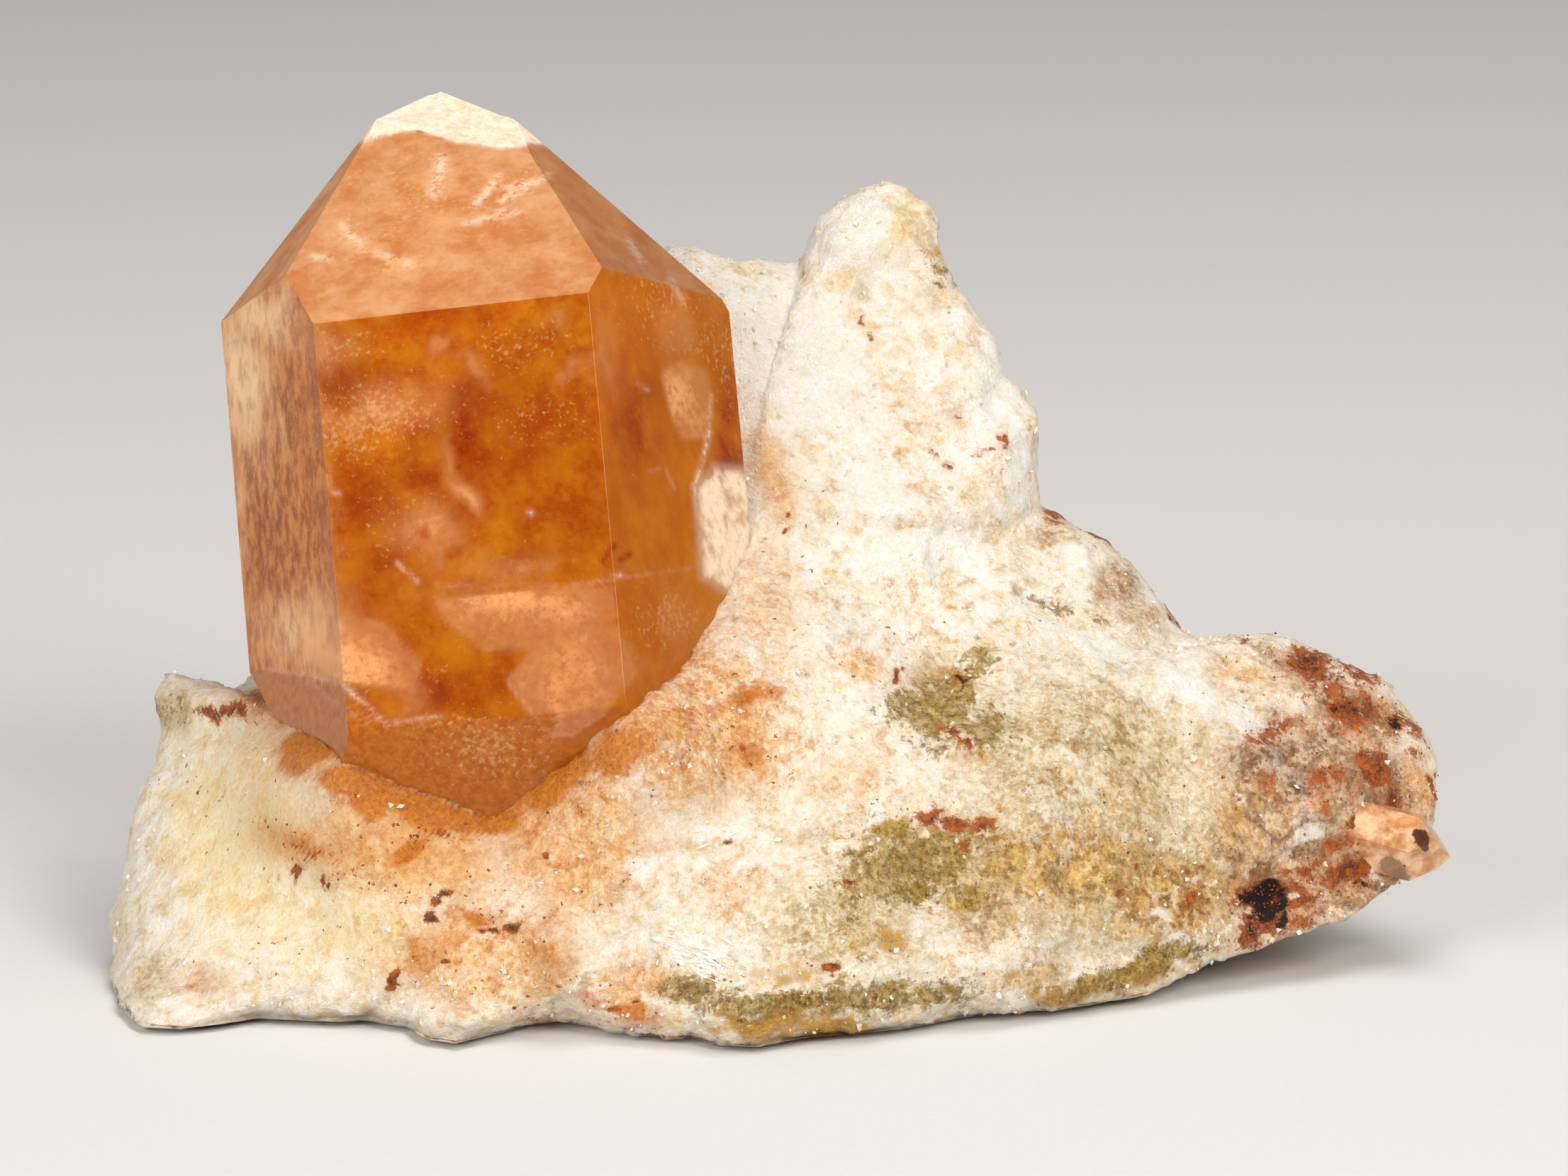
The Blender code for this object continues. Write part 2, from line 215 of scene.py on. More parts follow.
def face_rings(outward, distance):
    """Corners of each face, in order round it. A corner is where three planes meet inside all the others."""
    triples = np.array(list(combinations(range(len(outward)), 3)))
    triples = triples[abs(np.linalg.det(outward[triples])) > 1e-6]
    corners = np.linalg.solve(outward[triples], distance[triples][..., None])[..., 0]
    corners = np.unique(corners[(corners @ outward.T < distance + 1e-6).all(1)].round(5), axis=0)
    rings = []
    for normal, reach in zip(outward, distance, strict=True):
        on = corners[abs(corners @ normal - reach) < 1e-3]
        if len(on) < 3:
            rings.append(None)
            continue
        spokes = on - on.mean(0)
        bearing = np.arctan2(spokes @ np.cross(normal, spokes[0]), spokes @ spokes[0])
        rings.append(on[np.argsort(bearing)])
    return rings


def face_border(ring, grid):
    """Points evenly spread along a face's sides. A side is divided from its lower end, so that neighbours
    share their points."""
    border = []
    for start, end in zip(ring, np.roll(ring, -1, 0), strict=True):
        low, high = (start, end) if tuple(start) < tuple(end) else (end, start)
        steps = max(2, int(np.ceil(np.linalg.norm(end - start) / grid)))
        side = low + (high - low) * (np.arange(steps + 1) / steps)[:, None]
        border.append((side if low is start else side[::-1])[:-1])
    return np.concatenate(border)


def crystal_skin(planes, relief, grids):
    """Points and faces of a flat-faced crystal in its own frame, merged along its edges. Each face is a set
    of rings from its border in to its middle. It stands out by relief(points, number), which dies out at its
    border."""
    outward, distance = plane_table(planes)
    points, faces, done = [], [], 0
    for number, ring in enumerate(face_rings(outward, distance)):
        if ring is None:
            continue
        border = face_border(ring, FACE_GRID)
        middle = border.mean(0)
        rings = int(np.ceil(np.linalg.norm(border - middle, axis=1).mean() / grids[number])) + 1
        share = np.arange(rings, 0, -1)[:, None, None] / rings
        patch = middle + share * (border - middle)
        patch[0] = border
        patch = np.concatenate([patch.reshape(-1, 3), middle[None]])
        fade = smooth_step(1 - np.append(np.repeat(share, len(border)), 0), 0, 0.08)
        patch += (relief(patch, number) * fade)[:, None] * outward[number]
        around = np.arange(len(border))
        grid = around + len(border) * np.arange(rings)[:, None] + done
        onward = np.roll(grid, -1, 1)
        squares = np.stack([grid[:-1], onward[:-1], onward[1:], grid[1:]], -1).reshape(-1, 4)
        tip = np.full(len(border), done + len(patch) - 1)
        points.append(patch)
        faces += squares.tolist() + np.stack([grid[-1], onward[-1], tip], -1).tolist()
        done += len(patch)
    merged, place_of = np.unique(np.concatenate(points).round(6), axis=0, return_inverse=True)
    place_of = place_of.ravel()
    return merged, [[int(place_of[corner]) for corner in face] for face in faces]


def settle(piece):
    """Applies the piece's modifiers, so that its mesh is the finished shape."""
    graph = bpy.context.evaluated_depsgraph_get()
    finished = bpy.data.meshes.new_from_object(piece.evaluated_get(graph))
    piece.modifiers.clear()
    piece.data = finished


def ink(code):
    """A colour as the shader wants it, from its six-figure screen code."""
    screen = np.array([int(code[place : place + 2], 16) for place in (0, 2, 4)]) / 255
    light = np.where(screen < 0.04045, screen / 12.92, ((screen + 0.055) / 1.055) ** 2.4)
    return (*light.tolist(), 1.0)


def fill(tree, node, inputs):
    """Sets a node's inputs, each to a number, a colour or another node's output."""
    for key, value in inputs.items():
        if isinstance(value, bpy.types.NodeSocket):
            tree.links.new(value, node.inputs[key])
        else:
            node.inputs[key].default_value = value


def wire(tree, kind, inputs, **settings):
    """One new node with its settings and its inputs."""
    node = tree.nodes.new("ShaderNode" + kind)
    for key, value in settings.items():
        setattr(node, key, value)
    fill(tree, node, inputs)
    return node


def mask(tree, name):
    """The numbers that set_mask stored under this name."""
    return wire(tree, "Attribute", {}, attribute_name=name).outputs["Fac"]


def calc(tree, operation, *values):
    """One sum: two or three values put together by the operation."""
    return wire(tree, "Math", dict(enumerate(values)), operation=operation).outputs[0]


def times(tree, first, second):
    """Two values multiplied."""
    return calc(tree, "MULTIPLY", first, second)


def highest(tree, *values):
    """The highest of several values."""
    top = values[0]
    for value in values[1:]:
        top = calc(tree, "MAXIMUM", top, value)
    return top


def blend(tree, share, low, high, kind="MIX"):
    """Colour between low and high."""
    return wire(tree, "Mix", {0: share, 6: low, 7: high}, data_type="RGBA", blend_type=kind).outputs[2]


def rise(tree, value, low, high, start=0.0, end=1.0):
    """An S-shaped climb from start to end while the value goes from low to high."""
    inputs = {"Value": value, "From Min": low, "From Max": high, "To Min": start, "To Max": end}
    return wire(tree, "MapRange", inputs, interpolation_type="SMOOTHSTEP").outputs["Result"]


def cloud(tree, spot, fineness, detail=4.0, rough=0.55):
    """Smooth noise over the places, 0 to 1."""
    inputs = {"Vector": spot, "Scale": fineness, "Detail": detail, "Roughness": rough}
    return wire(tree, "TexNoise", inputs).outputs["Fac"]


def shades(tree, value, low, high, dark, pale):
    """A dark ink where the value is low or less, a pale one where it is high or more, and a blend between."""
    return blend(tree, rise(tree, value, low, high), ink(dark), ink(pale))


def paint(tree, colour, *coats):
    """The colour with coats laid over it in turn. Each says where it lies, how strongly, its own colour and,
    where it does more than cover, how it blends."""
    for where, strength, coat, *kind in coats:
        share = where if strength == 1 else times(tree, where, strength)
        colour = blend(tree, share, colour, ink(coat) if isinstance(coat, str) else coat, *kind)
    return colour


def bumped(tree, height, strength, distance):
    """The way out of the surface, bent by a height. The distance is what a height of 1 means, in metres."""
    inputs = {"Height": height, "Strength": strength, "Distance": distance}
    return wire(tree, "Bump", inputs).outputs["Normal"]


def new_finish(name):
    """A new material, its node tree and its shader."""
    made = bpy.data.materials.new(name)
    made.use_nodes = True
    return made, made.node_tree, made.node_tree.nodes["Principled BSDF"]


def absorb(tree, colour, density):
    """Colours the light that passes through the piece by the length of its way."""
    depth = wire(tree, "VolumeAbsorption", {"Color": (*colour, 1), "Density": density})
    tree.links.new(depth.outputs["Volume"], tree.nodes["Material Output"].inputs["Volume"])


def millimetres(tree, centre=(0, 0, 0), turn=(0, 0, 0), stretch=(1, 1, 1)):
    """The piece's own coordinates in millimetres, from a centre in metres, turned and stretched."""
    own = wire(tree, "TexCoord", {}).outputs["Object"]
    scale = [MM * share for share in stretch]
    inputs = {"Vector": own, "Location": centre, "Rotation": turn, "Scale": scale}
    return wire(tree, "Mapping", inputs, vector_type="TEXTURE").outputs["Vector"]


def crystal_relief(points, number):
    """Faint growth marks: fine steps across the prism faces, low hummocks on the pointed ends, and rough
    ones on the chips, which come after the three rings of six."""
    steps = noise(points * (0.12, 0.12, 1.0), 0.9, 31, 3) - 0.5
    hummocks = noise(points, 2.6, 41, 3) - 0.5
    if number < len(PRISM_FACES):
        return 0.05 * steps + 0.03 * hummocks
    if number >= 3 * len(PRISM_FACES):
        return 0.6 * hummocks + 0.25 * (noise(points, 0.9, 47, 3) - 0.5)
    return 0.06 * hummocks


def strokes(right, up, rows):
    """Soft lines: right and up of both ends, half width and strength. They fade sideways."""
    field = np.zeros(len(right))
    for start_right, start_up, end_right, end_up, wide, strength in rows:
        run_right, run_up = end_right - start_right, end_up - start_up
        share = ((right - start_right) * run_right + (up - start_up) * run_up) / (run_right**2 + run_up**2)
        share = share.clip(0, 1)
        gap = np.hypot(right - start_right - share * run_right, up - start_up - share * run_up)
        field = np.maximum(field, strength * np.exp(-((gap / wide) ** 2)))
    return field


def panes(right, up, corners, soft):
    """1 inside a convex outline of places, given anticlockwise, and 0 outside. It falls over the soft width
    on both sides of the outline."""
    corners = np.array(corners)
    sides = np.roll(corners, -1, 0) - corners
    sides /= np.hypot(*sides.T)[:, None]
    inner = np.full(len(right), 1e9)
    for (mid_right, mid_up), (run_right, run_up) in zip(corners, sides, strict=True):
        inner = np.minimum(inner, run_right * (up - mid_up) - run_up * (right - mid_right))
    return smooth_step(inner, -soft, soft)


# What lies in the crystal, as seen through its front: right, up, half length, half width, turn and strength.
# Milky veils drift down to the right through its middle, and grainy haze fills its upper left.
VEILS = (
    (-20, 3, 2, 1.3, -30, 0.95), (-17.7, 5, 2.1, 0.5, -48, 0.85), (-14.8, 1, 3.4, 0.7, -2, 0.6),
    (-15.4, -1.4, 4, 1.3, -8, 0.55), (-10.8, -3.2, 3.2, 1.6, -20, 0.5), (-19.4, 13.3, 0.6, 0.5, 0, 1),
    (-17.9, 12.4, 0.9, 0.4, -35, 1), (-12.3, 14.9, 1, 0.6, 0, 0.85), (-11.7, 12.4, 0.9, 0.4, 50, 0.85),
    (-25, -2.8, 2.6, 1.8, -25, 0.6), (-22.8, 10, 3.4, 1.2, 8, 0.75), (-26, 13.6, 2, 1, 0, 0.5),
    (-6.4, -2, 2.4, 2, 30, 0.3), (-21.4, -6, 0.9, 1.4, 20, 0.5), (-5.4, 14.8, 1.2, 1.8, -40, 0.5),
    (-10.2, 13.4, 0.9, 2, 0, 0.45), (-18.9, 6.9, 0.4, 1.6, 10, 0.5), (-9.8, 12.6, 0.3, 1.4, 6, 0.5),
)
# Pale panes that end along a line: the corners, anticlockwise, then where each is brightest. The first two
# are painted reflections, the rock seen through the crystal's lower faces; the other two are veils.
VEIL_AND_REFLECTION_PANES = (
    (
        (
            (-29.2, -4.7), (-27.1, -5), (-25, -5.6), (-22.4, -7.8), (-21, -7.5), (-20.4, -4.2),
            (-22.5, -2), (-26, -0.8),
        ),
        (-24.4, -5, 3.2, 2.1, -28, 1),
    ),
    (
        (
            (-15.7, -5.2), (-14.8, -6.6), (-13.3, -8.3), (-11.9, -8.3), (-10.1, -7.1), (-8.2, -4.8),
            (-9.4, -2), (-13, -2),
        ),
        (-12, -5.8, 2.8, 2.8, 0, 0.95),
    ),
    (
        (
            (-20, 0.1), (-19.4, -1.6), (-17, -3.6), (-12, -3.4), (-9.4, -1.6), (-9.6, 0.3), (-12, 0.1),
        ),
        (-15.4, -0.4, 4.4, 1.4, -6, 0.8),
    ),
    (
        (
            (-7, 12.2), (-6.4, 9.6), (-5.8, 8.4), (-4.2, 8.4), (-4, 10.9), (-4.4, 12.4), (-5.8, 12.9),
        ),
        (-5.4, 10, 1.8, 2.6, 0, 1),
    ),
)
# The milky pane at the right, the pale lines along the edge of the lower faces and along the panes'
# edges, which are painted highlights, and the grainy haze.
MILK = ((-5, 5.6), (-4.6, 0.6), (-2.2, -0.8), (-1.2, 6.6), (-4, 6.9))
EDGE_HIGHLIGHTS = (
    (-29.2, -4.6, -27.1, -4.9, 0.24, 0.8), (-27.1, -4.9, -25, -5.4, 0.28, 0.9),
    (-25, -5.4, -22.4, -7.7, 0.28, 1), (-26.9, -5.3, -23.5, -7.7, 0.24, 0.7),
    (-22.4, -7.7, -19.3, -7.2, 0.26, 0.9), (-4.1, 10.9, -4.2, 8.8, 0.24, 0.8),
    (-4.2, 8.8, -4.7, 6.8, 0.3, 1), (-4.7, 6.8, -5.05, 5.7, 0.32, 1), (-5.05, 5.7, -4.8, 4.1, 0.28, 0.95),
    (-4.8, 4.1, -4.5, 0.6, 0.26, 0.8), (-19.7, 0.17, -12.1, 0.17, 0.22, 0.64),
    (-12.1, 0.17, -9.5, 0.5, 0.24, 0.75), (-9.5, 0.5, -4.8, 1.2, 0.22, 0.68),
    (-15.6, -5.3, -13.3, -8.3, 0.22, 0.7), (-13.3, -8.3, -11.9, -8.3, 0.24, 0.8),
    (-11.9, -8.3, -10.1, -7.1, 0.22, 0.7), (-21.8, 1.4, -20.7, 0.4, 0.3, 0.9),
    (-7.6, 6.6, -6.7, 6.8, 0.22, 0.6), (-6.7, 6.8, -6.2, 5.6, 0.22, 0.66),
    (-9.6, 0.6, -9.2, 0.75, 0.3, 1), (-14.4, 4.2, -14.2, 4.25, 0.32, 1),
    (-25.4, 5.4, -25.1, 5.3, 0.3, 0.95), (-8.2, 11.5, -7.7, 11.2, 0.28, 0.8),
    (-28.4, 9.5, -28.2, 8.2, 0.26, 0.75), (-2.7, 12.4, -2.6, 15, 0.26, 0.8),
)
GRAINY = (
    (-23.2, 9.6, 4.4, 2, 8, 1), (-24.4, 8.2, 2.2, 1.4, 0, 1), (-25, 13.6, 3, 1.4, 0, 0.7),
    (-13.4, 9.6, 3.4, 2.4, 0, 0.5), (-15, 13.6, 3, 1.6, 0, 0.7), (-6.6, -1.6, 2.4, 1.8, 30, 0.8),
    (-20.6, 22, 5, 3, 0, 0.6), (-24.4, 19.9, 1.6, 0.9, -25, 1), (-21.9, 18.3, 2, 0.8, -15, 1),
    (-15, 22.3, 2.4, 1, 25, 0.8), (-22, 4, 3, 3, 0, 0.5), (-16.8, -8.9, 3.8, 2.2, -12, 1),
    (-20, -7.8, 3, 1, 0, 0.6), (-7, 16, 3, 2.6, -40, 0.7), (-4.6, 14, 1.6, 1.6, 0, 0.8),
    (-24.4, -5.4, 2.6, 1.6, -25, 0.6), (-20, -4.8, 1.6, 1, 0, 0.6), (-16, -1.8, 4, 1.6, 0, 0.5),
    (-3.2, 13, 0.8, 3, 4, 0.9),
)
# Rust in clouds and in short strokes, and the smoky places.
RUST_CLOUDS = (
    (-17.9, 9, 1.3, 3.2, 0, 1), (-19.2, 15.4, 2.8, 1.3, 8, 0.8), (-24.9, 11.6, 1.9, 1.4, 0, 0.6),
    (-8.4, 9.6, 1.4, 3.6, 0, 0.75), (-3.1, 8.8, 0.8, 2.9, 0, 1), (-2.8, 7.6, 0.6, 1.2, 0, 1),
    (-24.1, 4.8, 2, 1.7, 0, 0.8), (-20.6, 6.3, 1.2, 0.8, 0, 0.8), (-19.8, -5.6, 1.2, 0.9, 0, 0.8),
    (-22.4, 1.4, 1.4, 1.4, 0, 0.6), (-15.8, 4.6, 1.2, 2.2, 30, 0.8), (-11.6, 5, 2.4, 3, 0, 0.35),
    (-18, -5.6, 3.6, 1.2, 0, 0.5), (-14.6, 9.6, 3, 3, 0, 0.45), (-23.6, -1, 1.4, 1, 0, 0.4),
)
SMOKE = (
    (-29.2, 4, 1.3, 4.6, 4, 1), (-28.4, -0.8, 1.1, 2, 0, 0.6), (-24.9, 11.6, 1.8, 1.3, 0, 0.6),
    (-28.2, 9.4, 0.7, 2.6, 0, 0.7), (-27.8, 15.2, 0.8, 1, 0, 0.5), (-2.9, 7.2, 0.6, 1, 0, 0.9),
    (-9, 18.4, 0.8, 2, -40, 0.4), (-19.6, -5.8, 0.8, 0.6, 0, 0.7), (-16, -10, 4.4, 1, -14, 0.4),
)
RUST_STROKES = (
    (-10.2, 1.5, -9.6, 2.4, 0.2, 1), (-9.2, 1.6, -8.7, 1.9, 0.2, 0.8), (-23.6, 4.5, -23.3, 4.4, 0.24, 1),
    (-19.2, -10.4, -18.2, -10.9, 0.18, 1), (-18.4, 6.8, -18, 6.7, 0.2, 1),
    (-26.4, 3.2, -26.2, 3.2, 0.16, 0.8),
)
# The left face: its pale places, and its edge towards the front, given as up and right. The edge above
# the painted shade of the lower faces, the scratches near the top, and the lower edge of the chip are
# given as right and up.
SIDE_PALE = (
    (-30.6, 12, 1.7, 5, 4, 1), (-29.6, 15.4, 2.6, 1.8, 0, 0.9), (-31, 4.6, 0.5, 4, 4, 0.5),
    (-27, -2.4, 2.8, 2, 0, 0.7),
)
SIDE_EDGE = ((-8.6, -24.7), (15, -26.5), (30, -27.6))
FOOT_EDGE = (
    (-31, -4.4), (-27.1, -4.9), (-25, -5.5), (-22.4, -7.75), (-19.3, -7.3), (-13, -6.9), (-12, -30),
)
CRYSTAL_SCRATCHES = (
    (-19.3, 24.2, -19.7, 22.4, 0.35, 0.9), (-17.5, 21.6, -16.8, 22.3, 0.24, 0.8),
    (-16.8, 22.3, -16.2, 23.2, 0.24, 0.8), (-15.9, 21.9, -13.3, 23.3, 0.24, 0.75),
    (-15.6, 22.6, -14.2, 22.9, 0.24, 0.7), (-18, 20.6, -15, 21.2, 0.22, 0.6),
    (-16.6, 20.9, -15.7, 21.3, 0.24, 0.6), (-26.6, 18.7, -25.6, 18.6, 0.22, 0.6),
    (-9.6, 22.8, -8.2, 21.6, 0.26, 0.7), (-10.6, 24, -9.4, 22.8, 0.22, 0.6),
    (-8.8, 19.6, -8, 18.4, 0.22, 0.6), (-6.4, 17.4, -5.6, 16, 0.22, 0.6),
    (-24.9, 20.4, -24, 19.4, 0.26, 0.8), (-23, 18.9, -21, 18.3, 0.22, 0.6),
)
CHIP_EDGE = (
    (-26, 24.6), (-23.6, 25.2), (-20.6, 25.7), (-18.8, 25.1), (-16, 24.6), (-14.2, 24.9), (-12, 24.9),
)

crystal_turn_matrix = crystal_turn(
    (-EYE_DROP, "X"), (-CRYSTAL_ROLL, "Y"), (-CRYSTAL_LEAN, "X"), (-CRYSTAL_TURN, "Z")
)
crystal_planes = [
    *ring_planes(PRISM_FACES, 0),
    *ring_planes(CROWN_FACES, RHOMB_TILT),
    *ring_planes(FOOT_FACES, -RHOMB_TILT),
    *TIP_CHIPS,
]
crystal_grids = [
    HIDDEN_GRID if number in HIDDEN_FACES else FACE_GRID for number in range(len(crystal_planes))
]
points, faces = crystal_skin(crystal_planes, crystal_relief, crystal_grids)
crystal = new_piece("quartz_body", points @ crystal_turn_matrix.T + CRYSTAL_MIDDLE, faces)
crystal_sharp = crystal.modifiers.new("worn edges", "BEVEL")
crystal_sharp.limit_method = "ANGLE"
crystal_sharp.angle_limit = EDGE_ANGLE
crystal_sharp.width = EDGE_ROUNDING * MM
crystal_sharp.segments = 2
settle(crystal)

points, normals = mesh_points(crystal), mesh_normals(crystal)
seen_at = shifted(points)
right, up, _ = seen(points)
front = smooth_step(-normals @ INTO_VIEW, -0.03, 0.03)
drift = noise(points, 2.2, 5, 4)
wisp = noise(points, 1.0, 9, 4)
behind = smooth_step(noise(points, 5.0, 77), 0.45, 0.7)
own_normal = normals @ crystal_turn_matrix
crown = smooth_step(own_normal[:, 2], 0.3, 0.6) * (0.7 + 0.3 * smooth_step(own_normal[:, 0], 0.5, 0.1))
# Painted shade: below this edge the front gets the plain tone of the lower faces, in place of their own
# shading.
foot_shade = smooth_step(np.interp(right, *np.array(FOOT_EDGE).T) - up, 0.0, 0.3) * front
veil_and_reflection = patches(seen_at, VEILS) * smooth_step(drift, 0.28, 0.5)
# The first two panes are painted reflections of the rock seen through the lower faces, the rest veils.
for corners, brightest in VEIL_AND_REFLECTION_PANES:
    bright = 0.5 + 0.5 * patches(seen_at, (brightest,))
    pane = panes(right, up, corners, PANE_SOFTNESS) * bright * (0.9 + 0.9 * (drift - 0.4))
    veil_and_reflection = np.maximum(veil_and_reflection, pane)
side_edge = np.interp(up, *np.array(SIDE_EDGE).T)
side = smooth_step(side_edge - right + 2.6 * (wisp - 0.5), -1.3, 1.0) * (1 - foot_shade) * front
turned_left = smooth_step(-own_normal[:, 0], 0.3, 0.8) * (1 - front)
clouds = patches(seen_at, RUST_CLOUDS) * smooth_step(drift, 0.2, 0.5) * front
clouds += smooth_step(noise(points, 4.0, 25), 0.5, 0.75) * (1 - front)
chip_line = np.interp(right, *np.array(CHIP_EDGE).T) + 0.35 * (noise(points, 0.8, 3) - 0.5)
chip = smooth_step(up - chip_line, -0.05, 0.2)
set_mask(crystal, "veil_and_reflection", veil_and_reflection * (1 - foot_shade) * front + 0.7 * behind * (1 - front))
# Painted highlights: pale lines along the edge of the lower faces and along the edges of the panes.
set_mask(crystal, "lines", strokes(right, up, EDGE_HIGHLIGHTS) * front)
set_mask(crystal, "milk", panes(right, up, MILK, 0.5) * (0.72 + 0.28 * smooth_step(wisp, 0.3, 0.5)) * front)
set_mask(crystal, "grainy", patches(seen_at, GRAINY) * front + 0.7 * behind * (1 - front))
set_mask(crystal, "rust", np.maximum(clouds, strokes(right, up, RUST_STROKES) * front))
set_mask(crystal, "smoke", patches(seen_at, SMOKE) * front)
set_mask(crystal, "scratch", strokes(right, up, CRYSTAL_SCRATCHES) * front)
set_mask(crystal, "chip", chip * front + (up > 25.4) * (1 - front))
set_mask(crystal, "haze", crown)
set_mask(crystal, "side", (side + turned_left) * (1 - crown))
set_mask(crystal, "pale", patches(seen_at, SIDE_PALE) * front)
set_mask(crystal, "foot_shade", foot_shade)
# Painted light: the faces turned to the right get a brighter orange, standing in for the light on them.
set_mask(crystal, "bright", smooth_step(own_normal[:, 0], 0.4, 0.8))


def crystal_finish():
    """Clear orange quartz: light passes it and is coloured by its depth. Veils, haze and the chip scatter
    light back, so they pass less and look milky, and each has its own colour and gloss. Light and shade are
    painted in as well: a brighter orange on the faces turned right, the lower faces' shade painted on the
    front below them, reflections of the rock in two pale panes, and highlights along edges."""
    made, tree, shader = new_finish("orange quartz")
    turn = Matrix(crystal_turn_matrix.tolist()).to_euler()
    centre = CRYSTAL_MIDDLE * MM
    spot = millimetres(tree, centre, turn)
    haze, side, chip = mask(tree, "haze"), mask(tree, "side"), mask(tree, "chip")
    fine = cloud(tree, spot, 2.0, 5.0, 0.72)
    broad = cloud(tree, spot, 0.4, 6.0, 0.65)
    granular = cloud(tree, spot, 3.4, 4.0, 0.6)
    streaks = cloud(tree, millimetres(tree, centre, turn, (0.8, 0.8, 1.4)), 1.0, 5.0, 0.74)
    threads = cloud(tree, millimetres(tree, centre, turn, (0.6, 0.6, 1.5)), 2.6, 5.0, 0.7)
    cloudy = calc(tree, "MULTIPLY_ADD", fine, 0.35, broad)
    flecks = rise(tree, calc(tree, "MULTIPLY_ADD", mask(tree, "grainy"), 0.22, granular), 0.64, 0.84)
    scratch = times(tree, mask(tree, "scratch"), rise(tree, fine, 0.36, 0.54))
    # The pale lines are painted highlights; white joins them with the real scratches.
    thin = calc(tree, "POWER", mask(tree, "lines"), 3.0)
    white = highest(tree, scratch, times(tree, thin, rise(tree, fine, 0.36, 0.6, 0.2, 0.85)))
    rusty = times(tree, mask(tree, "rust"), rise(tree, fine, 0.26, 0.56, 0.4, 1.0))
    pale = times(tree, mask(tree, "pale"), rise(tree, streaks, 0.3, 0.56, 0.6, 1.0))
    smoky = times(tree, mask(tree, "smoke"), rise(tree, streaks, 0.62, 0.36, 0.25, 1.0))
    # milky veils, with the painted reflections in the first two panes
    veils_and_reflections = times(tree, mask(tree, "veil_and_reflection"), rise(tree, fine, 0.28, 0.6, 0.68, 1.0))
    milky = times(tree, mask(tree, "milk"), rise(tree, fine, 0.3, 0.55, 0.82, 1.0))

    flank = shades(tree, streaks, 0.38, 0.62, "B0540A", "EA9A48")
    flank = paint(tree, flank, (pale, 1, "FFDAAE"), (rise(tree, threads, 0.54, 0.7), 0.6, "F6C08A"))
    colour = paint(
        tree,
        shades(tree, broad, 0.34, 0.66, "C05602", "E0860E"),
        # painted light on the faces turned right
        (mask(tree, "bright"), 0.45, "EE8E10"),
        (rise(tree, fine, 0.5, 0.72), 0.3, "F0A440"),
        (rusty, 1, "A82C00"),
        # painted shade of the lower faces
        (mask(tree, "foot_shade"), 0.9, shades(tree, fine, 0.3, 0.7, "C0620A", "E6902E")),
        (haze, 0.92, shades(tree, cloudy, 0.46, 0.92, "D08242", "EAB280")),
        (side, 0.9, flank),
        (smoky, 0.62, "86421E"),
        (veils_and_reflections, 0.9, "F2AE74"),
        (milky, 1, "F8E0C2"),
        (chip, 1, shades(tree, fine, 0.3, 0.6, "ECC096", "FDE6D0")),
        (flecks, 0.7, "F6C07E"),
        (white, 1, "FFE2C2"),
    )

    hold = highest(
        tree,
        times(tree, veils_and_reflections, 0.8),
        times(tree, haze, 0.72),
        times(tree, side, calc(tree, "MULTIPLY_ADD", pale, 0.25, 0.65)),
        times(tree, highest(tree, white, milky), 0.9),
        times(tree, chip, 0.9),
        0.5,
    )
    dull = highest(tree, times(tree, haze, 0.3), times(tree, chip, 0.5), times(tree, side, 0.3))
    wave = calc(tree, "MULTIPLY_ADD", side, 0.8, 0.3)
    height = calc(tree, "MULTIPLY_ADD", streaks, wave, times(tree, fine, 0.7))
    looks = {
        "Base Color": colour,
        "Transmission Weight": calc(tree, "SUBTRACT", 1.0, hold),
        "Roughness": calc(tree, "ADD", dull, 0.07),
        "Normal": bumped(tree, height, 0.14, 0.0001),
        "IOR": QUARTZ_IOR,
        "Specular IOR Level": 0.2,
        "Specular Tint": (1.0, 0.84, 0.66, 1),
        "Subsurface Weight": 0.3,
        "Subsurface Radius": (1.0, 0.4, 0.12),
        "Subsurface Scale": 0.002,
    }
    fill(tree, shader, looks)
    absorb(tree, (0.96, 0.64, 0.12), 45.0)
    return made


crystal.data.materials.clear()
crystal.data.materials.append(crystal_finish())
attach(crystal, "root")
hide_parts("quartz_crystal")


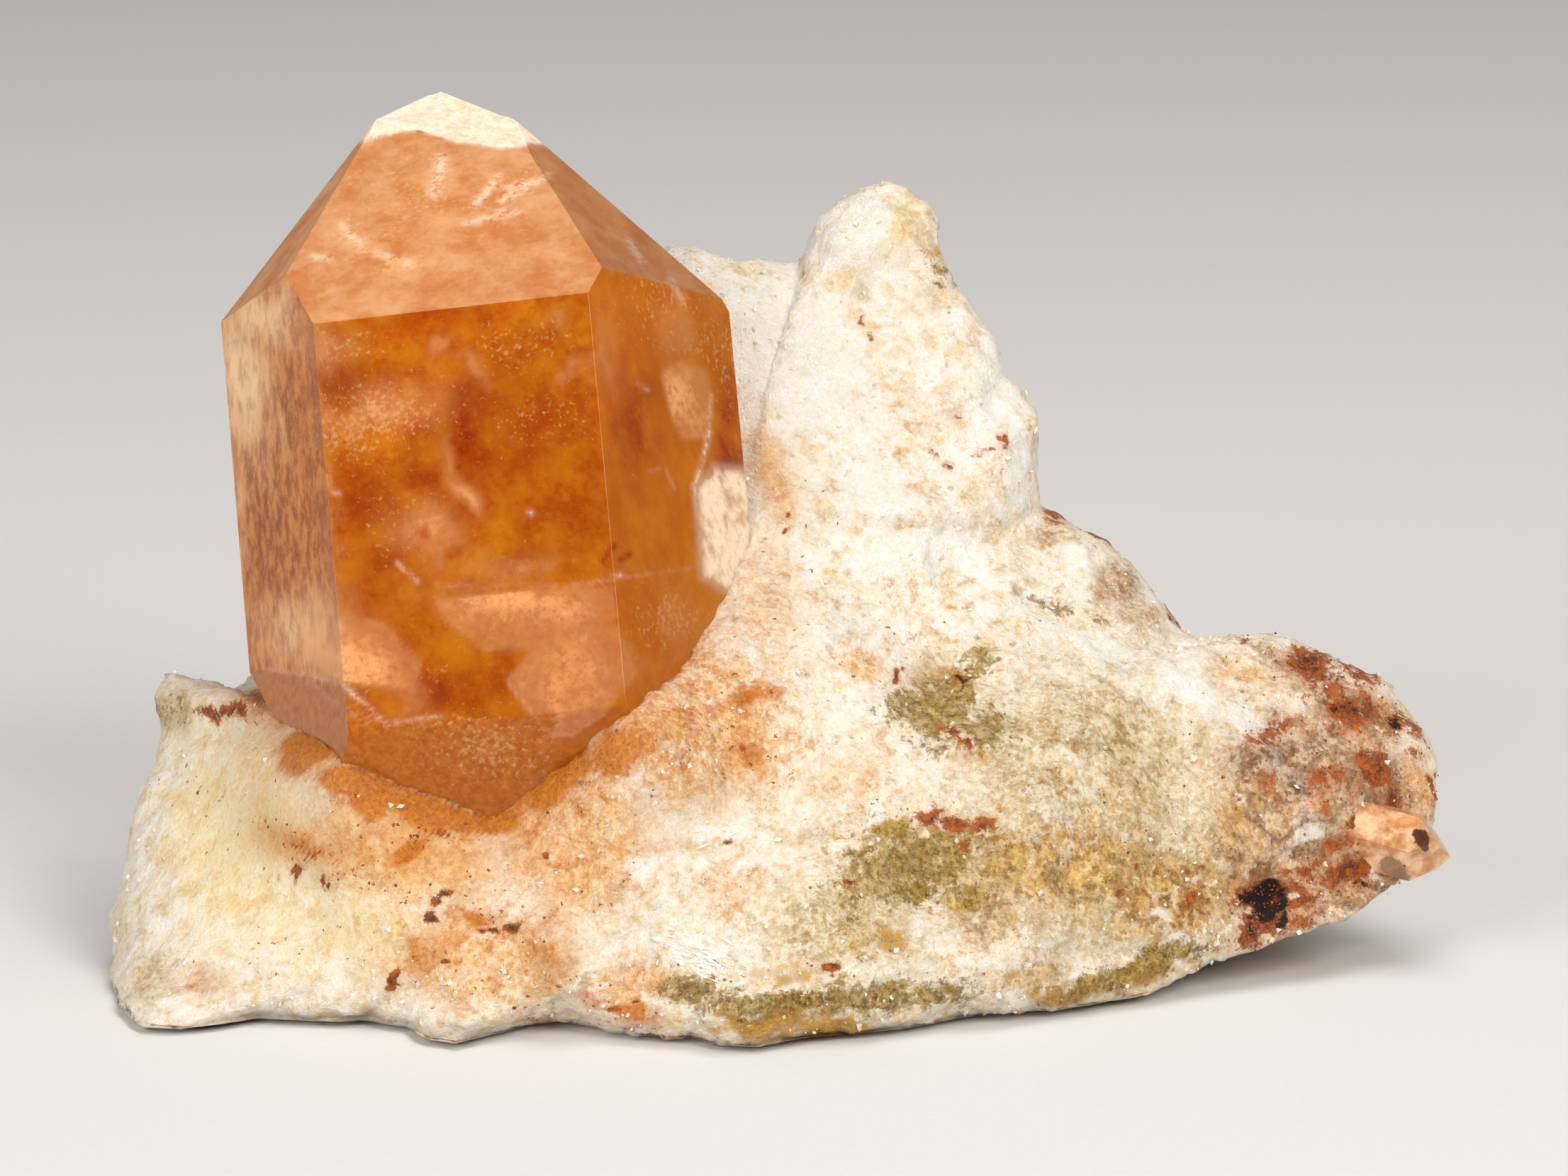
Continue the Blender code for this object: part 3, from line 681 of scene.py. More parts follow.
# The rock: one broken piece of massive quartz. Its left face is a smooth cream cleavage, the rest is sugary
# grain, stained by iron at its right end and patched with olive crust. It is two sheets, front and back, over
# one outline, joined at a rounded rim, with a socket where the crystal grew into it.
# The outline, anticlockwise from the upper left: right, up and the depth of the rim. Where the depth is
# 99, the rim lies on the flat base, as deep as the sight line comes down to it.
OUTLINE = (
    (-35, -7.8, 3), (-35.3, -9, 2), (-35.4, -9.8, 2), (-36.4, -11.8, 1), (-36.9, -14.5, 0),
    (-37.3, -16.7, -1), (-38, -18.5, -2), (-37.8, -20.7, -4), (-38.1, -22, -6), (-37.5, -23.5, -9),
    (-36.9, -24.2, 99), (-36.2, -24.8, 99), (-34.2, -24.9, 99), (-31.7, -24.6, 99), (-29.7, -24.3, 99),
    (-25.3, -24.5, 99), (-23.7, -24.4, 99), (-21.2, -24.8, 99), (-20.2, -25.5, 99), (-18.6, -25.7, 99),
    (-16.8, -25.3, 99), (-13.3, -24.4, 99), (-11.7, -24.6, 99), (-8.7, -25.2, 99), (-5, -25.4, 99),
    (-3.8, -25.8, 99), (-1.5, -25.9, 99), (1, -25.4, 99), (6.6, -24.9, 99), (9.3, -24.4, 99),
    (11.4, -24, -13), (15.7, -23.8, -12), (19.7, -23.1, -10), (22.9, -21.7, -9), (25.7, -20.5, -7),
    (29, -19.6, -6), (31.9, -18.6, -5), (33.6, -17.3, -3), (35.4, -16, -2), (36.3, -14.8, -1),
    (36.6, -12.7, 0), (36.9, -11.6, 0), (36.8, -8.9, 1), (35.2, -7.1, 2), (34.2, -5.3, 2),
    (32.8, -4.6, 3), (30.6, -3.8, 3), (28.6, -3, 3), (25.9, -2.8, 4), (23.7, -3, 4), (22.5, -2.4, 4),
    (19.8, 1, 5), (18.2, 2.6, 5), (15.4, 4.3, 6), (14.5, 4.7, 6), (14.3, 5.8, 6), (14.2, 8.3, 7),
    (14.1, 9.9, 7), (13.2, 11.2, 8), (12.3, 11.9, 8), (11.8, 13.7, 8), (11.1, 14.7, 9), (10.3, 16.3, 9),
    (9.4, 17.1, 10), (8.9, 18.9, 10), (8.6, 20.8, 11), (8, 21.8, 11), (6.8, 22.6, 11), (5.9, 22.9, 11),
    (4.8, 22.6, 11), (3.4, 21.8, 11), (2.2, 21, 12), (1.4, 19.7, 12), (1, 18.6, 12), (-1, 18.6, 11),
    (-3.2, 18.6, 10), (-4.9, 19.3, 10), (-6.6, 19.2, 10), (-10.2, 16.4, 12), (-16.2, 10.8, 13),
    (-23.4, 2.8, 12), (-28.2, -2.8, 10), (-29.7, -4.5, 8), (-30.4, -5.4, 7), (-31.2, -5.8, 6),
    (-32.6, -5.3, 5), (-34.8, -4.9, 4), (-35.6, -6.2, 3),
)
FAR_BEHIND = 99
BASE_SIGHT = -12.0
GRID_MIDDLE = np.array((-7.0, -12.0))
ROCK_RINGS = 106
GRID_CROWDING = 0.5
RIM_BLUNTNESS = 7
BASE_ROUNDING = 6.0
# Knots of the front sheet and of the back one: right, up, depth.
FRONT = (
    (-27.8, -7.6, -8.4), (-25.3, -9.1, -14.4), (-22, -10.9, -14.2), (-18.9, -12.1, -13.8),
    (-16.5, -12.8, -13.5), (-13.9, -10.7, -14.4), (-9.5, -7.8, -15.6), (-7.6, -6.1, -14.2),
    (-5.6, -4, -10.9), (-3.9, -1.4, -7.2), (-2, 3.3, -2.4), (-2.2, 9, 0.5), (-2.8, 14, 2),
    (-4.2, 17.2, 3.5), (-16.2, -6.8, -5), (-12.2, 1.2, 8), (-20.2, 1.2, 8), (-16.2, 8, 12),
    (-26.2, -4, 2), (-32.2, -6.8, -2.5), (-32.2, -12.8, -8), (-35.4, -18.8, -11), (-35.5, -23.4, -14.6),
    (-28.2, -16.8, -13), (-20.2, -16.8, -16), (-24.2, -22.8, -16), (-12.2, -18.8, -18),
    (-4.2, -20.8, -19.5), (-4.2, -12.8, -15), (3.8, -18.8, -17.5), (3.8, -8.8, -12), (11.8, -14.8, -14),
    (11.8, -6.8, -9), (3.8, -0.8, -5), (13.8, -0.8, -3), (19.8, -8.8, -7.5), (19.8, -16.8, -11.5),
    (27.8, -6.8, -3), (27.8, -14.8, -7.5), (34, -10.8, -3.5), (34.5, -14.8, -3.5), (5.8, 7.2, 1),
    (11.8, 5.2, 1), (1.8, 14, 4), (7.8, 14, 5), (5.4, 20, 7.5),
)
BACK = (
    (-32.2, -10.8, 9), (-34.2, -20.8, 6), (-20.2, -18.8, 16), (-4.2, -18.8, 17), (11.8, -18.8, 9),
    (27.8, -14.8, 5), (35, -12.8, 4), (23.8, -6.8, 9), (11.8, 1.2, 12), (5.8, 15.2, 14), (-2.2, 15.2, 15),
    (-8.2, 9.2, 18), (-20.2, -2.8, 17), (-28.2, -5, 11.5), (0, -6.8, 19), (-16.2, -10.8, 19),
)
# Lumps, and hollows with a minus: right, up, half width, half height, how far out.
LUMPS = (
    (5.6, 20.6, 2.2, 2, 1.6), (3.6, 19.6, 1.6, 1.6, 1), (11, 12, 2, 2.4, 1.2), (13, 7, 1.8, 2.6, 1),
    (-33.4, -5.9, 1.8, 0.8, 1.5), (29.5, -6, 3, 1.6, 1.2), (33.6, -9, 2, 2, 1.2),
    (31, -12.4, 2.4, 1.6, 0.9), (-12.8, -20.6, 1.6, 2.4, 1.4), (-19.2, -24.4, 2.2, 0.7, 1.2),
    (-2.8, -23.4, 2.6, 1, 1), (17.4, 2, 1.2, 1.6, 0.8), (2, 4.6, 3, 1.2, 0.9), (8.6, 4.4, 3.4, 1, 1.1),
    (21, -13, 3, 1.8, 0.8), (4.4, 16.4, 0.5, 0.7, -0.9), (8.6, -5.2, 2.6, 2.4, -1.5),
    (8, -16.6, 3.4, 2.2, -1.3), (27, -17.6, 2, 1.3, -2.2), (-8.6, -21.6, 1.1, 2.2, -1.5),
    (-5.4, -23, 3.2, 0.5, -0.9), (-30.6, -8.2, 2.4, 0.8, -0.8), (14.6, 0.6, 1.4, 3.6, -1),
    (0.6, -14.6, 3.6, 0.7, -0.6), (24, -10.6, 2.6, 1.4, -0.8), (18.6, -20.6, 4, 0.8, -0.9),
    (12.4, -10.4, 3.4, 0.8, -0.6),
)
# Large and small facets: their sizes, how far they stand out, and the net that they are joined from.
FACET_SIZES = (7.0, 3.2)
FACET_FRONT = (0.7, 0.45)
FACET_BACK = (2.0, 1.0)
FACET_SEED = 7
FACET_NET = 64
FACET_BEND = 0.35
FACET_WAVE = 1.7
ROCK_HOLD = -0.04
# Where the facets die out.
CALM = ((-0.5, 11, 5, 8.5, 0.85), (-30, -15, 7, 8, 0.45))


def spline(knots):
    """Smooth sheet of depths through the knots: a thin-plate spline, r squared times log r, plus a plane."""
    knots = np.array(knots, float)
    xy, depth = knots[:, :2], knots[:, 2]

    def kernel(points):
        """How strongly each knot bends the sheet at the points."""
        gap = ((points[:, None] - xy[None]) ** 2).sum(2)
        return 0.5 * gap * np.log(gap + 1e-9)

    size = len(xy)
    flat = np.column_stack([np.ones(size), xy])
    system = np.zeros((size + 3, size + 3))
    system[:size, :size] = kernel(xy)
    system[:size, size:] = flat
    system[size:, :size] = flat.T
    weights = np.linalg.solve(system, np.append(depth, [0, 0, 0]))
    return lambda points: kernel(points) @ weights[:size] + weights[size] + points @ weights[size + 1 :]


def lumps(points, rows):
    """Sum of rounded lumps and hollows, each a bell curve."""
    right, up, wide, high, out = np.array(rows).T[:, :, None]
    across = (points[:, 0] - right) / wide
    along = (points[:, 1] - up) / high
    return (out * np.exp(-(across**2) - along**2)).sum(0)


def facets(points, size, seed):
    """Flat broken facets: heights at the corners of a bent net of triangles, joined by plane triangles."""
    heights = np.random.default_rng(seed).uniform(-1, 1, (FACET_NET, FACET_NET))
    bend = FACET_BEND * np.sin(points[:, ::-1] / size * FACET_WAVE + seed)
    net = points / size + bend + FACET_NET / 2
    cell = np.floor(net).astype(int)
    across, along = (net - cell).T
    right, up = cell.T % (FACET_NET - 1)
    far = across + along > 1
    low = heights[right, up]
    beside, above = heights[right + 1, up], heights[right, up + 1]
    high = heights[right + 1, up + 1]
    near_side = low + across * (beside - low) + along * (above - low)
    far_side = high + (1 - across) * (above - high) + (1 - along) * (beside - high)
    return np.where(far, far_side, near_side)


def broken(points, amounts, seed):
    """Large facets with small ones on them."""
    layers = enumerate(zip(FACET_SIZES, amounts, strict=True))
    return sum(amount * facets(points, size, seed + step) for step, (size, amount) in layers)


def sight_depth(up):
    """Depth at which the sight line this far up comes down to the flat base. A high line never does."""
    low = np.minimum(up, BASE_SIGHT)
    base = (low * cos(EYE_DROP) + MIDDLE[2]) / (sin(EYE_DROP) - low * cos(EYE_DROP) / EYE_DISTANCE)
    return np.where(up < BASE_SIGHT, base, FAR_BEHIND)


def soft_minimum(first, second):
    """The smaller of two depths, with the corner between them rounded over BASE_ROUNDING."""
    share = np.clip(0.5 + (second - first) / (2 * BASE_ROUNDING), 0, 1)
    return second + share * (first - second) - BASE_ROUNDING * share * (1 - share)


def rim_points(share):
    """Places evenly spread along the closed outline, by its length: right, up, rim depth."""
    ring = np.array(OUTLINE + OUTLINE[:1], float)
    run = np.append(0, np.cumsum(np.hypot(*np.diff(ring[:, :2], axis=0).T)))
    return np.column_stack([np.interp(share * run[-1], run, ring[:, axis]) for axis in range(3)])


def square_grid(steps):
    """Grid over a square: how far out each point lies (0 to 1), and its share of the way round."""
    line = np.arange(-steps, steps + 1)
    across, along = np.meshgrid(line, line, indexing="ij")
    ring = np.maximum(abs(across), abs(along)).clip(1)
    side = np.select(
        [across == -ring, along == -ring, across == ring],
        [ring - along, 3 * ring + across, 5 * ring + along],
        7 * ring - across,
    )
    out = np.maximum(abs(across), abs(along)) / steps
    return out.ravel(), (side / (8 * ring)).ravel() % 1.0


def rock_sheets():
    """Points and squares of the front and back sheets. Both follow depth splines and blend to the depth of
    the rim."""
    out, share = square_grid(ROCK_RINGS)
    reach = out + GRID_CROWDING * (np.sin(out * pi / 2) - out)
    rim = rim_points(share)
    places = GRID_MIDDLE + reach[:, None] * (rim[:, :2] - GRID_MIDDLE)
    rim_depth = np.minimum(rim[:, 2], sight_depth(rim[:, 1]))
    fullness = np.sqrt(1 - reach**RIM_BLUNTNESS)
    calm = 1 - lumps(places, CALM)
    front = spline(FRONT)(places) - lumps(places, LUMPS) + broken(places, FACET_FRONT, FACET_SEED) * calm
    back = spline(BACK)(places) + broken(places, FACET_BACK, FACET_SEED + 5)
    front = rim_depth + (front - rim_depth) * fullness
    back = rim_depth + (back - rim_depth) * fullness
    back = soft_minimum(back, sight_depth(places[:, 1]))
    front = np.minimum(front, back)

    count = 2 * ROCK_RINGS + 1
    index = np.arange(count * count).reshape(count, count)
    inner = index[1:-1, 1:-1].ravel()
    behind = index.copy()
    behind[1:-1, 1:-1] = count * count + np.arange(len(inner)).reshape(count - 2, count - 2)
    points = np.concatenate([place(*places.T, front), place(*places.T, back)[inner]])

    def squares(grid):
        """Four corners of each square of the grid."""
        return np.stack([grid[:-1, :-1], grid[1:, :-1], grid[1:, 1:], grid[:-1, 1:]], -1).reshape(-1, 4)

    return points, np.concatenate([squares(index), squares(behind)[:, ::-1]])


def grains(points, size, seed):
    """Broken grains: each point belongs to the nearest of a jittered lattice of seeds, and its height is that
    of the grain's own tilted plane."""
    cell = np.floor(points / size)
    nearest = np.full(len(points), 1e9)
    height = np.zeros(len(points))
    for step in product((-1, 0, 1), repeat=3):
        home = cell + step
        offset = np.stack([scatter(home, seed + axis) for axis in range(3)], -1)
        tilt = np.stack([scatter(home, seed + 3 + axis) for axis in range(3)], -1) * 2 - 1
        gap = points / size - home - offset
        far = (gap**2).sum(-1)
        closer = far < nearest
        nearest = np.where(closer, far, nearest)
        height = np.where(closer, (gap * tilt).sum(-1), height)
    return height


def socket_cutter(slack):
    """The large crystal's plain shape, its planes pushed out by slack."""
    outward, distance = plane_table(crystal_planes)
    rings = [ring for ring in face_rings(outward, distance + slack) if ring is not None]
    corners, order = np.unique(np.concatenate(rings).round(4), axis=0, return_inverse=True)
    ends = np.cumsum([len(ring) for ring in rings])[:-1]
    faces = [face.tolist() for face in np.split(order.ravel(), ends)]
    return new_piece("socket", corners @ crystal_turn_matrix.T + CRYSTAL_MIDDLE, faces)


def rock_relief(points, smooth):
    """How far each point of the broken surface stands out: soft lumps, crags and broken grains."""
    soft = noise(points, 4.2, 51, 4) - 0.5
    crags = 0.5 - abs(noise(points, 2.3, 57, 3) - 0.5) * 3
    coarse = grains(points, 2.1, 61)
    fine = noise(points, 0.8, 71, 2) - 0.5
    rough = 1 - 0.85 * smooth
    return 0.8 * soft * (1 - 0.4 * smooth) + (0.28 * crags + 0.16 * coarse + 0.3 * fine) * rough


# The smooth cleavage on the left, and the plain broken faces on the horn and beside the groove.
SMOOTH_FACES = (
    (-30, -13.5, 8.5, 10.5, 8, 1), (-21, -14, 9, 4, -8, 0.95), (-24, -20.5, 6, 3.2, 0, 0.7),
    (5, 16, 3.5, 6, -8, 0.75), (-13, -19, 1.4, 3, 10, 0.8), (-1, 8, 3.5, 6, 0, 0.7),
    (28.5, -9, 4, 2, -18, 0.4), (-6, -13, 5, 2.5, 20, 0.5),
)

points, faces = rock_sheets()
rock = new_piece("matrix_rock", points, faces)
normals = mesh_normals(rock)
smooth = patches(shifted(points), SMOOTH_FACES) * smooth_step(-normals @ INTO_VIEW, -0.2, 0.2)
base = (normals[:, 2] < -0.95) & (points[:, 2] < 0.2)
points = points + normals * (rock_relief(points, smooth) * np.where(base, 0, 1))[:, None]
points[:, 2] = points[:, 2].clip(0)
rock.data.vertices.foreach_set("co", (points * MM).astype(np.float32).ravel())
cutter = socket_cutter(ROCK_HOLD)
cut = rock.modifiers.new("socket", "BOOLEAN")
cut.operation = "DIFFERENCE"
cut.solver = "MANIFOLD"
cut.object = cutter
settle(rock)
bpy.data.objects.remove(cutter)

# Where each colour lies on the front of the rock: right, up, half length, half width, turn and strength.
ROCK_TINTS = {
    "amber": (
        (-26.5, -14.6, 2.4, 0.8, -14, 0.45), (-27, -9.2, 1.72, 1.03, 20, 1),
        (-24, -11.3, 2.99, 1.26, -22, 1), (-20.2, -12.6, 2.76, 1.15, -14, 1),
        (-16.8, -13, 1.84, 0.92, 0, 0.88), (-21.1, -15, 0.92, 0.52, 60, 0.94),
        (-12.6, -10.6, 2.76, 1.49, 40, 0.94), (-9.6, -9.4, 2.76, 1.84, 20, 0.66),
        (-17.4, -18.6, 1.84, 0.8, 12, 0.61), (-1.9, -6.2, 2.18, 0.8, 15, 0.66),
        (-29.6, -6.4, 1.38, 0.57, 20, 0.55), (-20.5, -20.8, 1.15, 1.84, 0, 0.5),
        (-32.6, -22.2, 2.53, 1.03, -15, 0.39), (-2, -9.4, 1.15, 1.38, 0, 0.5),
        (-13.6, -20, 1.61, 2.76, 0, 0.44), (-9, -24, 3.45, 0.8, -10, 0.55),
    ),
    "peach": (
        (-22, -15, 7.6, 3, -12, 0.95), (-12, -14, 5, 5.5, 30, 1), (-4, -8, 5.5, 5, 30, 1),
        (-0.8, -1, 2.4, 6.5, 5, 0.55), (-0.6, 6.5, 1.4, 4.2, 10, 0.75), (-17, -21, 6.5, 3.2, 0, 1),
        (-27.6, -14.6, 3, 1.6, -12, 0.95), (3, -11, 5, 2.6, 15, 0.55), (4.3, -4.4, 1.6, 0.9, 0, 0.8),
        (-3, -16.5, 4, 2.4, 10, 0.6), (36, -11.6, 1.1, 2.6, 8, 1), (26, -5, 4, 1.6, -10, 0.6),
        (-8, -22.4, 4, 2, 0, 0.75),
    ),
    "cream": (
        (-31, -14, 5, 8, 0, 1), (-25, -19, 7, 4, 0, 0.8), (6.4, 20.5, 1.9, 2.2, 0, 0.9),
        (2, 6, 4, 6, 0, 0.3), (-2, 15, 3, 4, 0, 0.25),
    ),
    "beige": (
        (17, -10, 8, 6, -20, 1), (20, -17, 8, 4, 5, 1), (12, -15, 7, 5, 0, 0.8), (3, -19, 6, 3.5, 0, 0.8),
        (8, 16.4, 1, 1.6, 0, 0.6), (-35.6, -22.2, 1.6, 2.4, 0, 0.7), (-37.4, -19, 0.8, 3, 0, 0.5),
        (23.6, -8.9, 1.2, 1.6, 0, 0.7), (19, -4.6, 4, 2, -15, 0.5), (-34.6, -7, 1.2, 1.6, 0, 1),
        (24, -14, 3, 3, 0, 0.7), (13.4, -5.6, 4, 3, 0, 0.5),
    ),
    "tan": (
        (16, -15.6, 5.6, 2.8, 0, 1), (22, -17.5, 4.2, 2.6, 15, 0.95), (11, -18.4, 3.4, 2.2, 0, 0.8),
        (19.6, -12.4, 3.4, 2.2, 0, 0.45), (9, -5.6, 2.8, 2.6, 0, 0.75), (13, -12, 3, 1.6, 0, 0.5),
        (3.4, -13, 4, 2, 20, 0.5), (-3, -18.4, 3, 1.6, 10, 0.5), (0, -24, 5, 1.4, 0, 0.8),
        (14, -21.6, 4, 1.4, 10, 0.7), (-16, -19.6, 3, 2, 0, 0.5), (25, -12.6, 2.6, 3, 0, 0.6),
        (-36, -21.4, 1.2, 2.6, 0, 0.3),
    ),
    "mauve": (
        (12.6, 5.4, 3, 3.2, -30, 0.4), (15, 3, 1.9, 1.9, 0, 0.62), (11.6, 3.6, 1.9, 1.4, 0, 0.45),
        (18.9, 0.2, 1.9, 1.6, -40, 0.75), (19.6, -1.6, 3.5, 1.4, -30, 0.5), (29, -10.5, 5.4, 4, -20, 1),
        (27, -14.4, 3.4, 2.4, 10, 1), (31, -15, 4.6, 1.6, 12, 1), (34, -12, 2.2, 4, 20, 0.9),
        (33, -17, 2.4, 1, 30, 1), (28.6, -16.4, 4.8, 1.4, 5, 1), (28.6, -4.4, 3, 1.4, -10, 0.7),
        (9.3, 10.2, 1.9, 1.4, -40, 0.4), (24.6, -10.8, 1.4, 2.4, 10, 0.5),
        (29.6, -18.4, 3.2, 1.4, 20, 0.9), (32, -7, 3.4, 2.4, -30, 0.9), (26, -7, 3, 1.6, -24, 0.5),
    ),
    "white": (
        (-0.6, 14, 5.5, 5, 0, 1), (4.8, 20.4, 1.5, 2.4, 0, 1), (2.8, 19.8, 1.8, 2.4, 0, 1),
        (2.2, 11, 4, 4, 0, 0.9), (11.6, 10.6, 1.4, 4.6, -12, 1), (13.5, 6.8, 1, 3.6, 0, 1),
        (5, 5.8, 4, 3.2, -20, 0.8), (6.2, 2, 3.6, 2, 10, 0.95), (9.6, 1.8, 3.2, 1.6, -20, 1),
        (13.6, -0.6, 3.4, 0.9, -22, 0.9), (1.7, 1, 0.6, 1.3, 15, 0.95), (3.9, -0.6, 0.7, 1.1, 20, 0.8),
        (-1.7, -3.7, 0.5, 0.9, 20, 0.8), (18, -3.4, 3.4, 0.9, -24, 0.9),
        (22.6, -5.4, 3.2, 1.2, -28, 0.95), (26.4, -7.6, 2.8, 1.2, -20, 0.85),
        (29.5, -13.8, 2, 0.55, 22, 1), (33.2, -15.8, 0.45, 0.6, 0, 0.9), (21.4, -18.5, 1, 0.4, -10, 0.8),
        (22.6, -19.9, 1.4, 0.5, 0, 0.9), (-8.1, -15.6, 1.4, 1.4, 0, 0.75),
        (-4.7, -20.9, 2.1, 0.9, -28, 1), (-7.4, -23.2, 1.4, 0.5, -35, 0.8),
        (-3.6, -13.8, 2.6, 0.5, 14, 0.9), (-1.6, -15.6, 3.6, 0.5, 14, 0.8), (-5, -15.5, 0.8, 0.5, 0, 0.9),
        (6, -11.2, 2.4, 0.4, 24, 0.85), (7.8, -9.6, 1.2, 0.8, 24, 0.7),
        (-34.2, -23.6, 1.6, 0.8, -15, 0.9), (-36.4, -15.4, 0.9, 2, 0, 0.8),
        (34, -9.6, 1.4, 0.7, -10, 0.7), (31, -8.4, 2, 0.7, 10, 0.6), (12.4, 4.4, 0.7, 1.4, 40, 0.9),
        (16.6, 1.6, 1.4, 0.8, -30, 0.9), (35.9, -9.9, 0.6, 1, 0, 0.6), (9.9, -1.9, 3.6, 1.6, -10, 0.6),
        (-12.4, -23.6, 0.6, 1, 0, 0.6), (20.6, 0.2, 1.6, 0.7, -45, 0.8), (7.6, -19.3, 1.4, 0.7, 0, 0.6),
        (14.6, -12.6, 1, 1, 0, 0.5),
    ),
    "olive": (
        (11.2, -4, 1.3, 1.5, 0, 0.7), (9.9, -5.6, 1.4, 1.6, -30, 0.85), (8.3, -7, 3.2, 1.7, 0, 0.9),
        (11, -8, 2.2, 1.5, -10, 0.85), (8.9, -9, 2.6, 0.9, -5, 0.6), (14.7, -1, 1.6, 0.6, -8, 0.8),
        (17.4, -1.7, 1.6, 0.8, -20, 0.6), (7, -15.7, 5.4, 2.8, 12, 0.9), (9.4, -14.4, 3.2, 2, 0, 0.85),
        (4.4, -17.4, 2.6, 1.4, 20, 0.7), (10.4, -17.4, 1.8, 2, 0, 0.75), (3.2, -18.8, 1.8, 1.5, 0, 0.5),
        (-4.9, -22.9, 2.1, 1.1, -10, 0.9), (-1, -23.4, 4.4, 0.9, -3, 0.95), (4, -23.2, 5.8, 1.1, 3, 0.9),
        (8.2, -22.8, 3, 0.9, 3, 0.8), (17.8, -22.2, 3.8, 0.9, 12, 0.85),
        (21.6, -20.9, 3.5, 0.8, 20, 0.85), (8.7, 17.6, 0.8, 2, 14, 0.55), (-34.6, -6.8, 1.1, 1.7, 0, 0.5),
        (21.8, -12.2, 1.2, 1.5, 0, 0.35), (25.7, -11.5, 0.9, 1.3, 15, 0.45),
        (31.3, -5.8, 1.3, 0.8, 10, 0.6), (32, -17.6, 1.4, 1.1, 30, 0.5), (12.6, -19.4, 1.8, 1, -30, 0.4),
        (3.4, -21.2, 2.4, 1.2, 0, 0.45), (13.2, -3, 1.3, 1, 0, 0.35), (6, -20.4, 3, 1.4, 0, 0.35),
    ),
    "yolk": (
        (13.2, -0.4, 0.7, 0.6, 0, 0.7), (9.3, -3.7, 0.7, 0.6, 0, 0.7), (10.5, -4.8, 0.8, 0.5, 20, 0.65),
        (5.8, -14, 3.4, 0.9, 22, 0.65), (4.2, -16, 2.4, 1.2, 40, 0.6), (5.6, -19.8, 2.8, 1.6, 0, 0.6),
        (0.4, -21.6, 2.8, 1.3, 0, 0.6), (-0.6, -24.7, 4.4, 1, -2, 0.9), (2.2, -25, 3.4, 0.8, 4, 0.85),
        (16, -22.8, 3.4, 0.9, 10, 0.8), (20.6, -21.6, 3.2, 0.9, 18, 0.8), (14, -14.4, 2.2, 3, 0, 0.3),
        (-3.8, -19.7, 1.2, 0.4, -10, 0.5), (25.8, -12.4, 1.6, 0.5, 30, 0.6),
        (10.6, -9.6, 2.6, 1.1, 10, 0.45), (6.2, -23, 4.2, 0.6, 4, 0.6), (8.4, 19.4, 1, 3, 12, 0.5),
        (27.6, -19.7, 2.2, 0.7, 25, 0.45), (8, -16, 5, 3, 10, 0.4), (8.6, -7, 3.6, 2.4, 0, 0.4),
    ),
    "rust": (
        (29.8, -4.4, 1.6, 1, -45, 0.95), (32.2, -4.4, 2.4, 0.5, -22, 0.9), (32, -6.8, 1.7, 1, -10, 0.85),
        (34.2, -7.8, 0.9, 0.7, 30, 0.95), (35.4, -8, 1.2, 0.5, -30, 0.75), (27.8, -7.9, 1.7, 0.9, 5, 0.7),
        (27.4, -8.4, 1.2, 0.4, 0, 0.8), (35.7, -9.3, 1.3, 0.6, 10, 0.6), (33, -10.1, 1.6, 1.3, -20, 0.85),
        (34.3, -12, 0.8, 2.1, 0, 0.8), (36.9, -11.4, 0.5, 1.2, 0, 0.8), (30.6, -10.6, 1.5, 1.3, 20, 0.65),
        (30.8, -12.2, 0.8, 1, 0, 0.55), (27.3, -10.9, 1.1, 0.9, 0, 0.55), (27.8, -12, 0.9, 0.6, -60, 0.5),
        (32.8, -13.4, 1, 0.5, 15, 0.8), (31.4, -14.4, 2.2, 0.5, 14, 0.65),
        (31.8, -15.8, 1.9, 1, 10, 0.85), (29, -15.8, 2.9, 0.7, 8, 0.65), (27.2, -17.6, 2.4, 1.4, 0, 0.95),
        (27, -19.2, 1.9, 1.1, 25, 0.95), (29.6, -17.6, 1.8, 0.9, 10, 0.75),
        (32.5, -16.6, 0.9, 0.6, -20, 0.7), (29.8, -19, 1.9, 0.7, 25, 0.55),
        (31.5, -6, 4.5, 2.6, -35, 0.55), (33.5, -10.5, 2.6, 4, 0, 0.48), (29.5, -16.8, 5, 2, 15, 0.52),
        (30, -12, 5, 3, 0, 0.26), (26.4, -14.6, 2.4, 1.6, 0, 0.28), (24.8, -5.6, 3.4, 1, -22, 0.22),
        (17.8, 3.5, 2.2, 0.85, -38, 0.95), (20.7, 1.5, 2.4, 0.85, -48, 1), (15.4, 4.1, 1, 0.5, -10, 0.85),
        (22.6, -1.2, 1.2, 0.7, -50, 0.95), (24.9, -4, 0.8, 0.25, -40, 0.6),
        (26, -2.9, 0.9, 0.3, -10, 0.7), (3.9, 15.8, 0.9, 0.26, 0, 0.5), (4.6, 15, 0.26, 0.9, 6, 0.8),
        (3.4, 16.2, 1.1, 0.4, 0, 0.25), (7.4, 10.6, 1.4, 0.6, 0, 0.3), (8.8, 11.2, 0.8, 0.6, 30, 0.4),
        (9.7, 9.6, 0.9, 0.6, -45, 0.42), (8.6, 7.8, 0.7, 0.3, -40, 0.7), (9.5, 7, 0.54, 0.34, -40, 0.95),
        (11.6, 8.1, 1.32, 0.26, 14, 0.6), (12.4, 8, 0.42, 0.42, 0, 0.7), (12.6, 6.6, 0.36, 0.72, 30, 0.5),
        (8, -12.7, 1, 0.6, 0, 0.95), (9.6, -13.1, 1.1, 0.7, -10, 0.9), (11.4, -13.4, 0.9, 0.9, 0, 0.85),
